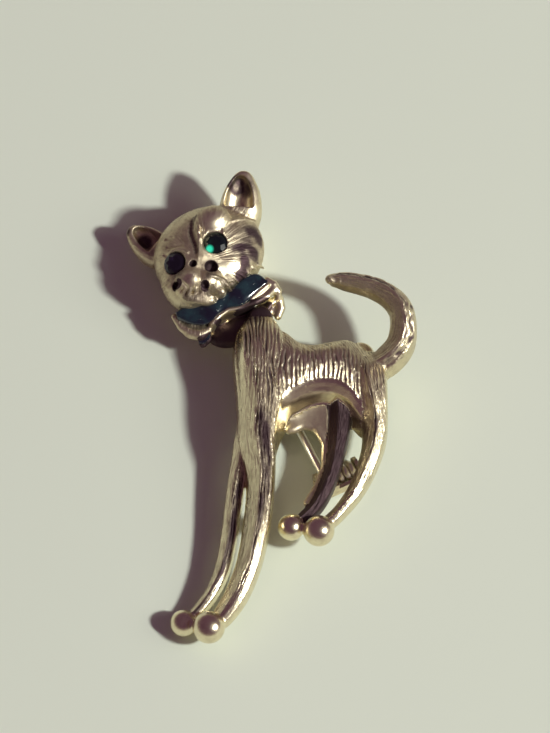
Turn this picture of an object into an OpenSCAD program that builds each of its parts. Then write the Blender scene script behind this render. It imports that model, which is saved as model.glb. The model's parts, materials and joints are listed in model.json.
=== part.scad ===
/* [Torso] */
// Length of the torso from the chest edge to the rump
torso_l = 17.4; // [16:0.1:19.5]
// Depth of the torso from the back line down to the top of the belly arch
torso_d = 7; // [6.2:0.1:8]
// Height of the relief above the open back of the casting
relief_h = 5.4; // [4.8:0.1:6.2]
// Wall of the hollow casting
wall = 1.2; // [0.9:0.05:1.5]
// How far the smooth belly wall leans in from its front edge to its back edge
belly_draft = 1.2; // [0.6:0.1:1.6]
// Distance between two fur ribs
rib_pitch = 0.56; // [0.5:0.01:0.9]
// Depth of the groove between two fur ribs
rib_h = 0.12; // [0.05:0.01:0.2]

/* [Legs] */
// Shoulder to the middle of the near front foot
front_leg_l = 37; // [34:0.5:41]
// Haunch to the middle of the near rear foot
rear_leg_l = 22.6; // [20:0.2:25]
// Width of the chest where the near front leg starts
chest_w = 5.6; // [5:0.1:6.4]
// Width of the near rear leg at the haunch
haunch_w = 4.7; // [4.2:0.1:5.4]
// Width of the two far legs at the top
leg_w = 2.4; // [2.1:0.1:2.8]
// Diameter of the two near ball feet
near_foot_d = 3.76; // [3.5:0.02:4.2]
// Diameter of the two far ball feet
far_foot_d = 3.14; // [2.9:0.02:3.4]

/* [Tail] */
// Reach of the tail's curl from its root to its highest point
tail_l = 15; // [13:0.2:17]
// Width of the tail at its root
tail_w = 3.4; // [3:0.1:4]

/* [Head] */
// Shoulder to the middle of the head
neck_l = 11.1; // [10.4:0.1:12.4]
// Direction of the neck, counted from the tail side
neck_angle = 122; // [116:1:128]
// Width of the head across the cheeks
head_w = 13.2; // [12.4:0.1:14]
// Height of the head from the chin to the crown
head_h = 11.5; // [10.8:0.1:12.4]
// Thickness of the head from its open back to the forehead
head_t = 9; // [8.4:0.1:9.8]
// How far the head leans over to its right shoulder
head_roll = 27; // [20:1:34]
// Length of an ear from its base to its tip
ear_l = 4.7; // [4.2:0.1:5.4]
// Width of an ear at its base
ear_w = 5; // [4.4:0.1:5.6]
// Size of the ear on the far side of the head against the near one
far_ear = 0.84; // [0.8:0.02:1]
// Thickness of the ear's rim
ear_rim = 0.55; // [0.45:0.05:0.8]
// Width of the tongue that carries the head
tongue_w = 3.4; // [2.8:0.1:4]
// Clearance round the tongue where it enters the head
tongue_gap = 0.12; // [0.08:0.01:0.2]

/* [Eyes] */
// Diameter of an eye stone at its girdle
stone_d = 2.8; // [2.4:0.05:3]
// Depth of a stone below its girdle
stone_pavilion = 1.1; // [0.9:0.05:1.3]
// Height of a stone above its girdle
stone_crown = 0.5; // [0.4:0.05:0.7]
// Clearance round a stone in its seat
stone_gap = 0.06; // [0.04:0.01:0.1]

/* [Bow] */
// Length of the ribbon across the front of the neck
bow_l = 11.2; // [10.2:0.1:12]
// Width of the ribbon
bow_w = 3; // [2.7:0.1:3.4]
// Thickness of the metal under the enamel
bow_t = 1.1; // [0.9:0.05:1.4]
// Width of the metal rim that holds the enamel
bow_rim = 0.35; // [0.3:0.05:0.5]
// Thickness of the enamel
enamel_t = 0.45; // [0.3:0.05:0.6]
// Clearance round the enamel
enamel_gap = 0.05; // [0.04:0.01:0.1]

/* [Pin] */
// Length of the pin from its pivot to its point
stem_l = 18.8; // [17.6:0.1:19.4]
// Diameter of the pin wire
wire_d = 0.9; // [0.8:0.05:1]
// Turns of wire in the hinge coil
coil_turns = 5; // [4:1:6]
// Length of the sharpened end of the pin
point_l = 3; // [2:0.1:4]
// Diameter of the hinge rivet
rivet_d = 0.7; // [0.6:0.05:0.8]
// Clearance between the rivet and what turns on it
rivet_gap = 0.05; // [0.03:0.01:0.08]
// Clearance beside the coil
side_gap = 0.08; // [0.05:0.01:0.15]
// Thickness of the hinge bracket's sheet
sheet_t = 0.45; // [0.4:0.05:0.6]
// Diameter of the stud that holds the hinge bracket
stud_d = 1; // [0.9:0.05:1.2]
// Clearance between the bracket and the casting
seat_gap = 0.05; // [0.03:0.01:0.1]
// Pivot to the middle of the catch, along the pin
catch_at = 15.4; // [14:0.1:16]
// Clearance on each side of the pin in the catch
catch_gap = 0.12; // [0.08:0.01:0.2]

/* [Hidden] */
gold = "#b8a878";
eps = 0.01;

// Heights above the table on which the open back lies
wire_r = wire_d / 2;
rivet_r = rivet_d / 2;
bore_r = rivet_r + rivet_gap;
coil_r = bore_r + wire_d;
turn_pitch = wire_d * 0.94;
coil_l = (coil_turns - 1) * turn_pitch + wire_d;
pivot_z = coil_r + 0.05;
ear_side_r = pivot_z;
plate_z = pivot_z + coil_r + side_gap;
back_z = plate_z + sheet_t + seat_gap;
stem_z = pivot_z + coil_r - wire_r - 0.05;
near_foot_r = near_foot_d / 2;
far_foot_r = far_foot_d / 2;

// Torso sections: place from chest to rump, back line, belly edge, crest
X = 0;
BACK_Y = 1;
BELLY_Y = 2;
CREST = 3;
TORSO = [
    [0.17, 1.24, -0.90, 0.46],
    [0.25, 1.28, -0.68, 0.62],
    [0.33, 1.18, -0.26, 0.80],
    [0.41, 0.99, -0.11, 0.91],
    [0.50, 0.93, -0.01, 0.95],
    [0.58, 0.95, 0.01, 0.97],
    [0.66, 1.00, -0.03, 0.98],
    [0.74, 1.03, -0.15, 0.96],
    [0.82, 0.95, -0.38, 0.84],
    [0.90, 0.80, -0.46, 0.66],
    [0.955, 0.60, -0.30, 0.45]];
// Torso section seen along the body: from belly edge to back line, height
TORSO_SECTION = [[0, 0], [0, 0.70], [0.05, 0.83], [0.16, 0.95], [0.32, 1], [0.5, 0.99],
    [0.66, 0.9], [0.8, 0.74], [0.91, 0.52], [0.98, 0.26], [1, 0]];

// Limb sections: along the limb, across it, half width, back, front
ALONG = 0;
ACROSS = 1;
HALF = 2;
BACK = 3;
FRONT = 4;
FRONT_NEAR = [
    [-0.02, 0.00, 0.33, 0.10, 0.52],
    [0.03, 0.00, 0.46, 0.00, 0.80],
    [0.12, 0.003, 0.50, 0.00, 0.92],
    [0.25, 0.004, 0.44, 0.00, 0.90],
    [0.39, -0.002, 0.36, 0.00, 0.80],
    [0.52, 0.008, 0.26, 0.05, 0.66],
    [0.66, -0.003, 0.25, 0.03, 0.56],
    [0.79, -0.028, 0.23, -0.03, 0.46],
    [0.89, -0.066, 0.22, -0.12, 0.33],
    [0.96, -0.110, 0.19, -0.18, 0.18],
    [0.99, -0.140, 0.16, -0.15, 0.12]];
FRONT_FAR = [
    [0.27, -0.030, 0.40, 0.10, 0.50],
    [0.37, -0.050, 0.48, 0.02, 0.38],
    [0.44, -0.062, 0.46, -0.06, 0.31],
    [0.57, -0.082, 0.44, -0.17, 0.20],
    [0.70, -0.099, 0.41, -0.25, 0.12],
    [0.80, -0.120, 0.39, -0.30, 0.06],
    [0.87, -0.150, 0.36, -0.34, 0.00],
    [0.92, -0.185, 0.34, -0.38, -0.08],
    [0.955, -0.220, 0.30, -0.40, -0.14]];
REAR_NEAR = [
    [0.00, 0.000, 0.40, 0.00, 0.74],
    [0.14, 0.030, 0.49, 0.00, 0.99],
    [0.28, 0.056, 0.42, 0.02, 0.98],
    [0.39, 0.078, 0.31, 0.08, 0.86],
    [0.50, 0.077, 0.27, 0.12, 0.76],
    [0.61, 0.051, 0.24, 0.14, 0.69],
    [0.72, 0.010, 0.21, 0.15, 0.62],
    [0.81, -0.040, 0.19, 0.15, 0.55],
    [0.89, -0.101, 0.17, 0.14, 0.49],
    [0.945, -0.155, 0.17, 0.14, 0.44],
    [0.975, -0.195, 0.15, 0.16, 0.38]];
REAR_FAR = [
    [0.27, -0.112, 0.56, 0.00, 0.50],
    [0.42, -0.108, 0.53, 0.00, 0.45],
    [0.53, -0.122, 0.46, 0.00, 0.42],
    [0.64, -0.143, 0.42, 0.00, 0.40],
    [0.75, -0.180, 0.41, 0.00, 0.38],
    [0.84, -0.225, 0.39, 0.00, 0.35],
    [0.90, -0.280, 0.36, 0.00, 0.30],
    [0.935, -0.320, 0.32, 0.02, 0.26]];
TAIL = [
    [0.05, -0.080, 0.44, 0.12, 0.70],
    [-0.01, 0.060, 0.52, 0.32, 0.92],
    [-0.11, 0.163, 0.51, 0.48, 1.08],
    [-0.24, 0.194, 0.47, 0.63, 1.22],
    [-0.37, 0.178, 0.43, 0.74, 1.30],
    [-0.47, 0.101, 0.39, 0.80, 1.34],
    [-0.54, -0.016, 0.35, 0.83, 1.33],
    [-0.58, -0.140, 0.32, 0.85, 1.31],
    [-0.603, -0.256, 0.29, 0.87, 1.28],
    [-0.611, -0.335, 0.22, 0.92, 1.22]];
// Limb section seen along the limb: across from right to left, height, with three fur streaks
FUR_LIMB = [[-1, 0], [-1, 0.42], [-0.8, 0.74], [-0.5, 0.92], [-0.3, 0.86], [-0.05, 1],
    [0.16, 0.92], [0.4, 0.96], [0.62, 0.78], [0.84, 0.62], [1, 0.36], [1, 0]];
// Limb section without streaks, for the hollow inside
PLAIN_LIMB = [[-1, 0], [-1, 0.42], [-0.7, 0.84], [0, 1], [0.7, 0.82], [1, 0.36], [1, 0]];
// Tail section: a ridge stands between the textured outer bevel and the smooth inner bevel
RIDGED = [[-0.8, 0.05], [-1, 0.38], [-0.78, 0.78], [-0.28, 1], [0.15, 0.9], [1, 0.4], [0.8, 0.06], [0, 0]];

// Places of the fur tufts round the lower edge of the face, as shares of the head's width and height
TUFTS = [[-0.52, -0.17], [-0.51, -0.26], [-0.46, -0.34], [-0.39, -0.41], [-0.30, -0.46], [-0.20, -0.49],
    [-0.09, -0.49], [0.03, -0.48], [0.14, -0.46], [0.25, -0.42], [0.35, -0.36], [0.43, -0.28]];

// Forms of the face, each from one round form to another: muzzle pads, chin, nose, bridge, cheeks, brows
FROM = 0;
FROM_R = 1;
TO = 2;
TO_R = 3;
FACE = [
    [[-0.335, -0.31, 0.83], [0.114, 0.098, 0.114], [-0.24, -0.24, 0.90], [0.083, 0.076, 0.106]],
    [[-0.16, -0.43, 0.80], [0.121, 0.091, 0.106], [-0.20, -0.25, 0.90], [0.076, 0.076, 0.106]],
    [[-0.27, -0.43, 0.70], [0.121, 0.068, 0.114], [-0.25, -0.36, 0.75], [0.106, 0.061, 0.091]],
    [[-0.25, -0.21, 1.03], [0.047, 0.030, 0.038], [-0.14, -0.21, 1.02], [0.047, 0.034, 0.038]],
    [[-0.20, -0.20, 0.96], [0.061, 0.045, 0.045], [-0.13, 0.12, 0.96], [0.045, 0.061, 0.030]],
    [[0.02, -0.35, 0.75], [0.150, 0.100, 0.115], [0.05, -0.33, 0.77], [0.160, 0.106, 0.120]],
    [[-0.43, -0.17, 0.65], [0.085, 0.110, 0.105], [-0.43, -0.13, 0.67], [0.090, 0.120, 0.114]],
    [[-0.04, 0.13, 0.96], [0.053, 0.038, 0.053], [0.09, 0.20, 0.96], [0.083, 0.045, 0.053]],
    [[-0.38, 0.11, 0.90], [0.037, 0.027, 0.037], [-0.25, 0.18, 0.90], [0.058, 0.032, 0.037]]];

// Ribbon across the neck: along the ribbon, across it, half width, front height
RIBBON = [[-0.50, 0.10, 0.26, 0.38], [-0.38, 0.02, 0.46, 0.46], [-0.22, -0.04, 0.50, 0.54],
    [-0.04, 0.02, 0.44, 0.62], [0.14, 0.06, 0.40, 0.66], [0.32, 0.06, 0.42, 0.64], [0.46, 0.04, 0.34, 0.60]];
BOW_FOLDS = [
    [[0.06, -0.52, 0.62], 0.14, [0.38, -0.48, 0.60], 0.27],
    [[0.38, -0.48, 0.58], 0.24, [0.40, 0.08, 0.58], 0.24],
    [[0.26, -0.75, 0.46], 0.19, [0.33, -1.02, 0.42], 0.23],
    [[0.26, -0.75, 0.46], 0.19, [0.28, -0.35, 0.50], 0.20],
    [[-0.20, 0.22, 0.36], 0.36, [0.22, 0.38, 0.42], 0.38]];
RIBBON_TAIL = [[-0.31, -0.50, 0.30, 0.47], [-0.30, -0.85, 0.34, 0.43], [-0.33, -1.18, 0.26, 0.38]];

// Places worked out from the sizes
shoulder = [torso_l * 0.152, torso_d * 1.22];
haunch = [torso_l * 0.82, torso_d * 0.79];
tail_root = [torso_l * 0.94, torso_d * 0.543];
head_at = shoulder + neck_l * [cos(neck_angle), sin(neck_angle)];
near_front_foot = concat(shoulder + front_leg_l * [-0.16, -1.004], [near_foot_r + 1.4]);
far_front_foot = concat(shoulder + front_leg_l * [-0.239, -0.970], [far_foot_r]);
near_rear_foot = concat(haunch + rear_leg_l * [-0.213, -0.998], [back_z + relief_h * 0.27]);
far_rear_foot = concat(haunch + rear_leg_l * [-0.355, -0.962], [back_z + relief_h * 0.12]);
stud_at = haunch + rear_leg_l * [-0.118, -0.515];
stud_r = stud_d / 2;
stud_head_t = 0.35;
stud_pad_r = stud_r + 0.6;
pivot_angle = 25.6;
stud_off = [2.7, 2.3];
pivot_at = stud_at - turn(stud_off, pivot_angle);
eye_right = [0.038, -0.043, 0.93];
eye_left = [-0.35, -0.033, 0.85];
bow_y = -head_h * 0.56;
girdle = 0.12;
ear_base = [0.42, 0.26, 0.6];
far_ear_base = [0.37, 0.375, 0.28];
ear_lean = 27;
ear_tip_r = 0.8;
left_x = ear_tip(-1, far_ear).x - ear_tip_r * far_ear;
right_x = tail_root.x + tail_l * 0.194 + tail_w * 0.47;
high_y = ear_tip(1, 1).y + ear_tip_r;
low_y = near_front_foot.y - near_foot_r;
middle = [(left_x + right_x) / 2, (low_y + high_y) / 2];

// A plan vector turned by an angle
function turn(p, a) = [p.x * cos(a) - p.y * sin(a), p.x * sin(a) + p.y * cos(a)];

// Centre of the round tip of an ear, in plan
function ear_tip(side, size) =
    let (reach = (ear_l - ear_tip_r) * size, base = side > 0 ? ear_base : far_ear_base)
    head_at + turn([side * (head_w * base.x + reach * sin(ear_lean)),
        head_h * base.y + reach * cos(ear_lean)], head_roll);

// One point of the smooth curve through four rows
function between(a, b, c, d, t) =
    0.5 * (2 * b + (c - a) * t + (2 * a - 5 * b + 4 * c - d) * t * t + (3 * b - a - 3 * c + d) * t * t * t);

// The row of a table at a share of its length, with the rows joined by a smooth curve
function row_at(table, share) =
    let (last = len(table) - 1, s = share * last, i = min(floor(s), last - 1))
    between(table[max(i - 1, 0)], table[i], table[i + 1], table[min(i + 2, last)], s - i);

// Closed solid through rings of as many points each
module loft(rings) {
    n = len(rings[0]);
    m = len(rings);
    polyhedron(
        points = [for (r = rings) each r],
        faces = concat(
            [[for (i = [n - 1 : -1 : 0]) i]],
            [for (j = [0 : m - 2], i = [0 : n - 1])
                each [[j * n + i, j * n + (i + 1) % n, (j + 1) * n + i],
                    [j * n + (i + 1) % n, (j + 1) * n + (i + 1) % n, (j + 1) * n + i]]],
            [[for (i = [0 : n - 1]) (m - 1) * n + i]]));
}

// Ring of a limb at a share of its length, square to the way the limb runs
function limb_ring(table, section, root, length, width, share, inset) =
    let (r = row_at(table, share),
        a = row_at(table, max(share - 0.02, 0)),
        b = row_at(table, min(share + 0.02, 1)),
        run = [b[ACROSS] - a[ACROSS], a[ALONG] - b[ALONG]],
        way = run / norm(run),
        p = root + length * [r[ACROSS], -r[ALONG]],
        half = width * r[HALF] - inset,
        low = back_z + relief_h * r[BACK] - (inset > 0 ? 1 : 0),
        high = back_z + relief_h * r[FRONT] - inset)
    [for (s = section) [p.x - way.y * half * s.x, p.y + way.x * half * s.x, low + (high - low) * s.y]];

module limb(table, section, root, length, width, steps, inset = 0, from = 0, to = 1) {
    loft([for (i = [0 : steps])
        limb_ring(table, section, root, length, width, from + (to - from) * i / steps, inset)]);
}

// Ring of the torso at a share of its length
function torso_ring(share, inset, groove) =
    let (r = row_at(TORSO, share),
        low = torso_d * r[BELLY_Y] + inset,
        high = torso_d * r[BACK_Y] - inset,
        floor_z = inset > 0 ? back_z - 1 : back_z,
        crest = back_z + relief_h * r[CREST] - inset)
    [for (s = TORSO_SECTION)
        let (h = s[1], cut = (s[0] > 0.04 && s[0] < 0.99) ? groove : 0)
        [torso_l * r[X],
            low + (high - low) * s[0] - (s[0] == 0 ? belly_draft * (1 - h) : 0),
            floor_z + (crest - floor_z) * h - cut]];

module torso(inset, steps, grooved, from = 0, to = 1) {
    loft([for (i = [0 : steps])
        let (share = from + (to - from) * i / steps, open = share > 0.3 && share < 0.72)
        torso_ring(share, inset, grooved && open && i % 2 == 1 ? rib_h : 0)]);
}

module ball(p, r, fn = 20) {
    translate(p) sphere(r, $fn = fn);
}

module ellipsoid(p, r, fn = 32) {
    translate(p) scale(r) sphere(1, $fn = fn);
}

// Everything is modelled round the torso and then moved over the middle of the whole brooch
module placed() {
    translate([-middle.x, -middle.y, 0]) children();
}

module in_head() {
    translate([head_at.x, head_at.y, 0]) rotate([0, 0, head_roll]) children();
}

module in_hinge() {
    translate([pivot_at.x, pivot_at.y, 0]) rotate([0, 0, pivot_angle]) children();
}

// Tongue on the body that carries the head, with room round it for its seat
tongue_low = back_z * 0.45;
tongue_high = back_z + relief_h * 0.14;
module tongue(grow = 0) {
    for (part = [[0.12, 0.62], [0.62, 0.95]])
        hull() {
            for (s = part)
                translate([shoulder.x, shoulder.y, tongue_low - grow])
                    rotate([0, 0, neck_angle])
                        translate([neck_l * s, 0, 0])
                            cylinder(h = tongue_high - tongue_low + 2 * grow,
                                r = tongue_w * (s > 0.9 ? 0.42 : 0.5) + grow, $fn = 24);
        }
}

// Plain hook on the inside of the torso that the pin's end is sprung into, open towards the table
catch_t = 0.6;
catch_w = 2;
module catch() {
    arm_x = wire_r + catch_gap;
    roof_z = stem_z + wire_r + catch_gap;
    roof_h = back_z + relief_h * 0.72 - roof_z;
    in_hinge() translate([0, catch_at, 0]) {
        for (side = [-1, 1])
            translate([side * (arm_x + catch_t / 2) - catch_t / 2, 0, stem_z - wire_r]) {
                translate([0, -catch_w / 2, 0]) cube([catch_t, catch_w, wire_d + wire_r]);
                translate([0, -catch_w / 4, -wire_r]) cube([catch_t, catch_w / 2, wire_d]);
            }
        translate([-arm_x - catch_t, -catch_w / 2, roof_z]) cube([2 * (arm_x + catch_t), catch_w, roof_h]);
    }
}

module cast_body() {
    color(gold) placed() {
        difference() {
            union() {
                torso(0, round(torso_l * 0.785 / rib_pitch) * 2, true);
                limb(FRONT_NEAR, FUR_LIMB, shoulder, front_leg_l, chest_w, 22);
                limb(REAR_NEAR, FUR_LIMB, haunch, rear_leg_l, haunch_w, 20);
            }
            torso(wall, 10, false, 0.04, 0.93);
            limb(FRONT_NEAR, PLAIN_LIMB, shoulder, front_leg_l, chest_w, 6, wall, 0.12, 0.42);
        }
        limb(FRONT_FAR, FUR_LIMB, shoulder, front_leg_l, leg_w, 16);
        limb(REAR_FAR, FUR_LIMB, haunch, rear_leg_l, leg_w, 12);
        limb(TAIL, RIDGED, tail_root, tail_l, tail_w, 26);
        feet();
        tail_tip();
        tongue();
        catch();
        stud();
    }
}

module feet() {
    for (foot = [[near_front_foot, near_foot_r], [near_rear_foot, near_foot_r * 0.97],
            [far_front_foot, far_foot_r], [far_rear_foot, far_foot_r]])
        hull() {
            ball(foot[0], foot[1]);
            ball(foot[0] + [foot[1] * 0.35, foot[1] * 0.4, foot[1] * 0.1], foot[1] * 0.66, 12);
        }
    hull() {
        ball(near_front_foot, far_foot_r * 0.4, 8);
        ball(far_front_foot, far_foot_r * 0.4, 8);
    }
    hull() {
        ball(near_rear_foot, far_foot_r * 0.4, 8);
        ball(far_rear_foot, far_foot_r * 0.4, 8);
    }
}

// Ringed knob at the end of the tail
module tail_tip() {
    tip = row_at(TAIL, 1);
    p = tail_root + tail_l * [tip[ACROSS], -tip[ALONG]];
    r = tail_w * 0.2;
    z = back_z + relief_h * (tip[BACK] + tip[FRONT]) / 2;
    hull() {
        ball([p.x, p.y, z], r, 12);
        ball([p.x - r * 0.9, p.y - r * 0.1, z], r * 0.72, 10);
    }
    hull() {
        ball([p.x + r * 0.75, p.y, z], r * 1.16, 12);
        ball([p.x + r * 0.95, p.y, z], r * 1.16, 12);
    }
}

// Stud on the back of the far rear leg, spread over the bracket's foot
module stud() {
    translate([stud_at.x, stud_at.y, plate_z - seat_gap - stud_head_t]) {
        cylinder(h = stud_head_t + sheet_t + wall, r = stud_r, $fn = 32);
        cylinder(h = stud_head_t, r = stud_r + stud_head_t, $fn = 32);
    }
}

// Ear as a pointed cup that leans out from the head
module ear(side) {
    base = side > 0 ? ear_base : far_ear_base;
    translate([side * head_w * base.x, head_h * base.y, head_t * base.z]) rotate([0, 0, -side * ear_lean]) scale(side > 0 ? 1 : far_ear) difference() {
        hull() {
            scale([ear_w / 2, 1.4, head_t * 0.22]) sphere(1, $fn = 18);
            translate([0, ear_l * 0.45, 0.2]) scale([ear_w * 0.42, 1, 1.2]) sphere(1, $fn = 14);
            translate([0, ear_l - ear_tip_r, 0.6]) sphere(ear_tip_r, $fn = 12);
        }
        translate([-side * ear_w * 0.06, 0.25, 1.1]) hull() {
            scale([ear_w / 2 - ear_rim * 1.3, 1.1, 1.5]) sphere(1, $fn = 14);
            translate([0, ear_l * 0.45, 0.6]) scale([ear_w * 0.42 - ear_rim, 1, 1]) sphere(1, $fn = 12);
            translate([0, ear_l - ear_rim * 2 - 0.6, 0.6]) sphere(0.45, $fn = 10);
        }
    }
}

// Dome of the head, with straight walls down to the open back
module skull(inset) {
    low_z = inset > 0 ? -1 : 0;
    hull() {
        ellipsoid([0, 0, head_t * 0.51], [head_w / 2 - inset, head_h / 2 - inset, head_t * 0.49 - inset], 28);
        translate([0, 0, low_z]) scale([head_w * 0.4 - inset, head_h * 0.4 - inset, 1])
            cylinder(h = head_t * 0.2, r = 1, $fn = 28);
    }
}

// A round form of the face: place as shares of the head's width, height and thickness, radii of its width
module lump(at, radii, fn = 14) {
    ellipsoid([head_w * at.x, head_h * at.y, head_t * at.z], head_w * radii, fn);
}

module face() {
    for (f = FACE)
        hull() {
            lump(f[FROM], f[FROM_R]);
            lump(f[TO], f[TO_R]);
        }
}

module cheek_tufts() {
    for (t = TUFTS)
        hull() {
            lump([t.x * 0.86, t.y * 0.86, 0.56], [0.053, 0.053, 0.091], 6);
            lump([t.x * 1.02, t.y * 1.04, 0.50], [0.014, 0.014, 0.023], 4);
        }
}

// Seat for an eye stone, or the stone itself when nothing is added to it
module stone_place(at, lean) {
    translate([head_w * at.x, head_h * at.y, head_t * at.z]) rotate([0, lean, 0]) children();
}

module stone_seat() {
    r = stone_d / 2 + stone_gap;
    translate([0, 0, -girdle]) cylinder(h = stone_d, r = r, $fn = 32);
    translate([0, 0, -girdle - stone_pavilion])
        cylinder(h = stone_pavilion + eps, r1 = stone_gap * 2, r2 = r, $fn = 32);
}

// Round stone with eight facets under the girdle, eight above it and a flat table
module stone() {
    r = stone_d / 2;
    translate([0, 0, -stone_pavilion]) cylinder(h = stone_pavilion, r1 = r * 0.06, r2 = r, $fn = 8);
    cylinder(h = girdle, r = r, $fn = 8);
    translate([0, 0, girdle]) cylinder(h = stone_crown - girdle, r1 = r, r2 = r * 0.56, $fn = 8);
}

// Stretch of ribbon between the rows of a table, from a low height up to the rows' own front height
module ribbon(table, grow, low, high) {
    for (i = [0 : len(table) - 2])
        hull()
            for (r = [table[i], table[i + 1]])
                translate([bow_l * r[0], bow_y + bow_w * r[1], head_t * r[3] + low])
                    cylinder(h = high - low, r = bow_w * r[2] + grow, $fn = 14);
}

// Seat of the enamel in the bow, as deep as the enamel and open to a height above it
module enamel_seat(high) {
    ribbon(RIBBON, -bow_rim, -enamel_gap, high);
    ribbon(RIBBON_TAIL, -bow_rim, -enamel_gap, high);
}

module bow() {
    difference() {
        union() {
            ribbon(RIBBON, 0, -bow_t, enamel_t * 0.5);
            ribbon(RIBBON_TAIL, 0, -bow_t, enamel_t * 0.5);
        }
        enamel_seat(bow_t);
    }
    for (f = BOW_FOLDS)
        hull() {
            knot(f[FROM], f[FROM_R]);
            knot(f[TO], f[TO_R]);
        }
}

// A round form of the bow: place as shares of its length, its width and the head's thickness
module knot(at, r) {
    ellipsoid([bow_l * at.x, bow_y + bow_w * at.y, head_t * at.z], bow_w * r * [1, 0.94, 1.04], 14);
}

module head() {
    color(gold) placed() difference() {
        in_head() difference() {
            union() {
                difference() {
                    union() {
                        skull(0);
                        face();
                        cheek_tufts();
                    }
                    stone_place(eye_right, -4) stone_seat();
                    stone_place(eye_left, -20) stone_seat();
                }
                ear(1);
                ear(-1);
                bow();
            }
            skull(wall * 1.6);
            enamel_seat(enamel_t + enamel_gap);
        }
        tongue(tongue_gap);
    }
}

module enamel_collar() {
    color("#22343c") placed() in_head()
        ribbon(RIBBON, -bow_rim - enamel_gap, 0, enamel_t);
}

module enamel_tail() {
    color("#22343c") placed() in_head() difference() {
        ribbon(RIBBON_TAIL, -bow_rim - enamel_gap, 0, enamel_t);
        ribbon(RIBBON, -bow_rim + enamel_gap, -2, 3);
    }
}

module eye_stone_right() {
    color("#0c4a35") placed() in_head() stone_place(eye_right, -4) stone();
}

module eye_stone_left() {
    color("#1c1830") placed() in_head() stone_place(eye_left, -20) stone();
}

// Sheet bracket: two round ears for the rivet, a spine behind the coil and a foot that the stud holds
module hinge_bracket() {
    left = -wire_r - side_gap - sheet_t;
    right = coil_l - wire_r + side_gap;
    spine_y = coil_r + side_gap + sheet_t;
    spine_h = ear_side_r * 1.2;
    foot_w = 2;
    foot_at = [left + foot_w / 2, foot_w / 2 - spine_y];
    foot_way = stud_off - foot_at;
    color("#a89a72") placed() in_hinge() difference() {
        union() {
            for (x = [left, right])
                translate([x, 0, pivot_z]) {
                    rotate([0, 90, 0]) cylinder(h = sheet_t, r = ear_side_r, $fn = 32);
                    translate([0, -spine_y, -spine_h / 2]) cube([sheet_t, spine_y, spine_h]);
                }
            translate([left, -spine_y, pivot_z - spine_h / 2])
                cube([right + sheet_t - left, sheet_t, spine_h]);
            translate([left, -spine_y, pivot_z]) cube([foot_w, sheet_t, plate_z + sheet_t - pivot_z]);
            translate([left, -spine_y, plate_z]) cube([foot_w, foot_w / 2, sheet_t]);
            translate([foot_at.x, foot_at.y, plate_z]) cylinder(h = sheet_t, r = foot_w / 2, $fn = 32);
            translate([foot_at.x, foot_at.y, plate_z]) rotate([0, 0, atan2(foot_way.y, foot_way.x)])
                translate([0, -foot_w / 2, 0]) cube([norm(foot_way), foot_w, sheet_t]);
            translate([stud_off.x, stud_off.y, plate_z]) cylinder(h = sheet_t, r = stud_pad_r, $fn = 32);
        }
        translate([left - 1, 0, pivot_z]) rotate([0, 90, 0])
            cylinder(h = right - left + sheet_t + 2, r = rivet_r + rivet_gap / 2, $fn = 32);
        translate([stud_off.x, stud_off.y, plate_z - 1])
            cylinder(h = sheet_t + 2, r = stud_r + seat_gap, $fn = 32);
    }
}

module hinge_rivet() {
    left = -wire_r - side_gap - sheet_t;
    right = coil_l - wire_r + side_gap + sheet_t;
    head_l = 0.25;
    head_gap = 0.03;
    head_r = rivet_r + head_l;
    low = -head_l - head_gap;
    high = right - left + head_gap;
    color("#a89a72") placed() in_hinge() translate([left, 0, pivot_z]) rotate([0, 90, 0]) {
        translate([0, 0, low]) cylinder(h = high - low + head_l, r = rivet_r, $fn = 32);
        for (z = [low, high])
            translate([0, 0, z]) cylinder(h = head_l, r = head_r, $fn = 32);
    }
}

// Pin of one wire: coil round the rivet, straight stem and sharpened end
module pin_stem() {
    slack = 0.02;
    turn_r = bore_r + wire_r + slack;
    straight_l = stem_l - point_l;
    point_r = wire_r * 0.18;
    color("#c8bfa0") placed() in_hinge() {
        translate([-wire_r, 0, pivot_z]) rotate([0, 90, 0]) rotate_extrude($fn = 40) {
            for (i = [0 : coil_turns - 1])
                translate([turn_r, wire_r + i * turn_pitch]) circle(wire_r - slack / 2, $fn = 24);
            translate([bore_r, wire_r * 0.6]) square([wire_r, coil_l - wire_r * 1.2]);
        }
        translate([0, 0, stem_z]) rotate([-90, 0, 0]) {
            cylinder(h = straight_l, r = wire_r, $fn = 32);
            translate([0, 0, straight_l]) cylinder(h = point_l, r1 = wire_r, r2 = point_r, $fn = 32);
        }
    }
}

cast_body();
head();
enamel_collar();
enamel_tail();
eye_stone_right();
eye_stone_left();
hinge_bracket();
hinge_rivet();
pin_stem();
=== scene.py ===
# %% [markdown]
# # A cast cat brooch
# The brooch is a hollow casting in antiqued gold tone, with ribbed fur, polished rims and ball feet, a dark
# enamel bow and two cut stones for eyes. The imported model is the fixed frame: it holds the real sizes, the
# hinge and the places of every piece. This lesson dresses it. The castings are modelled as solids of
# distance, which is how soft, melted-together metal forms are most easily described, and the small things
# are modelled as meshes.

# %% Load the frame
import json
import math
import time

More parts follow.
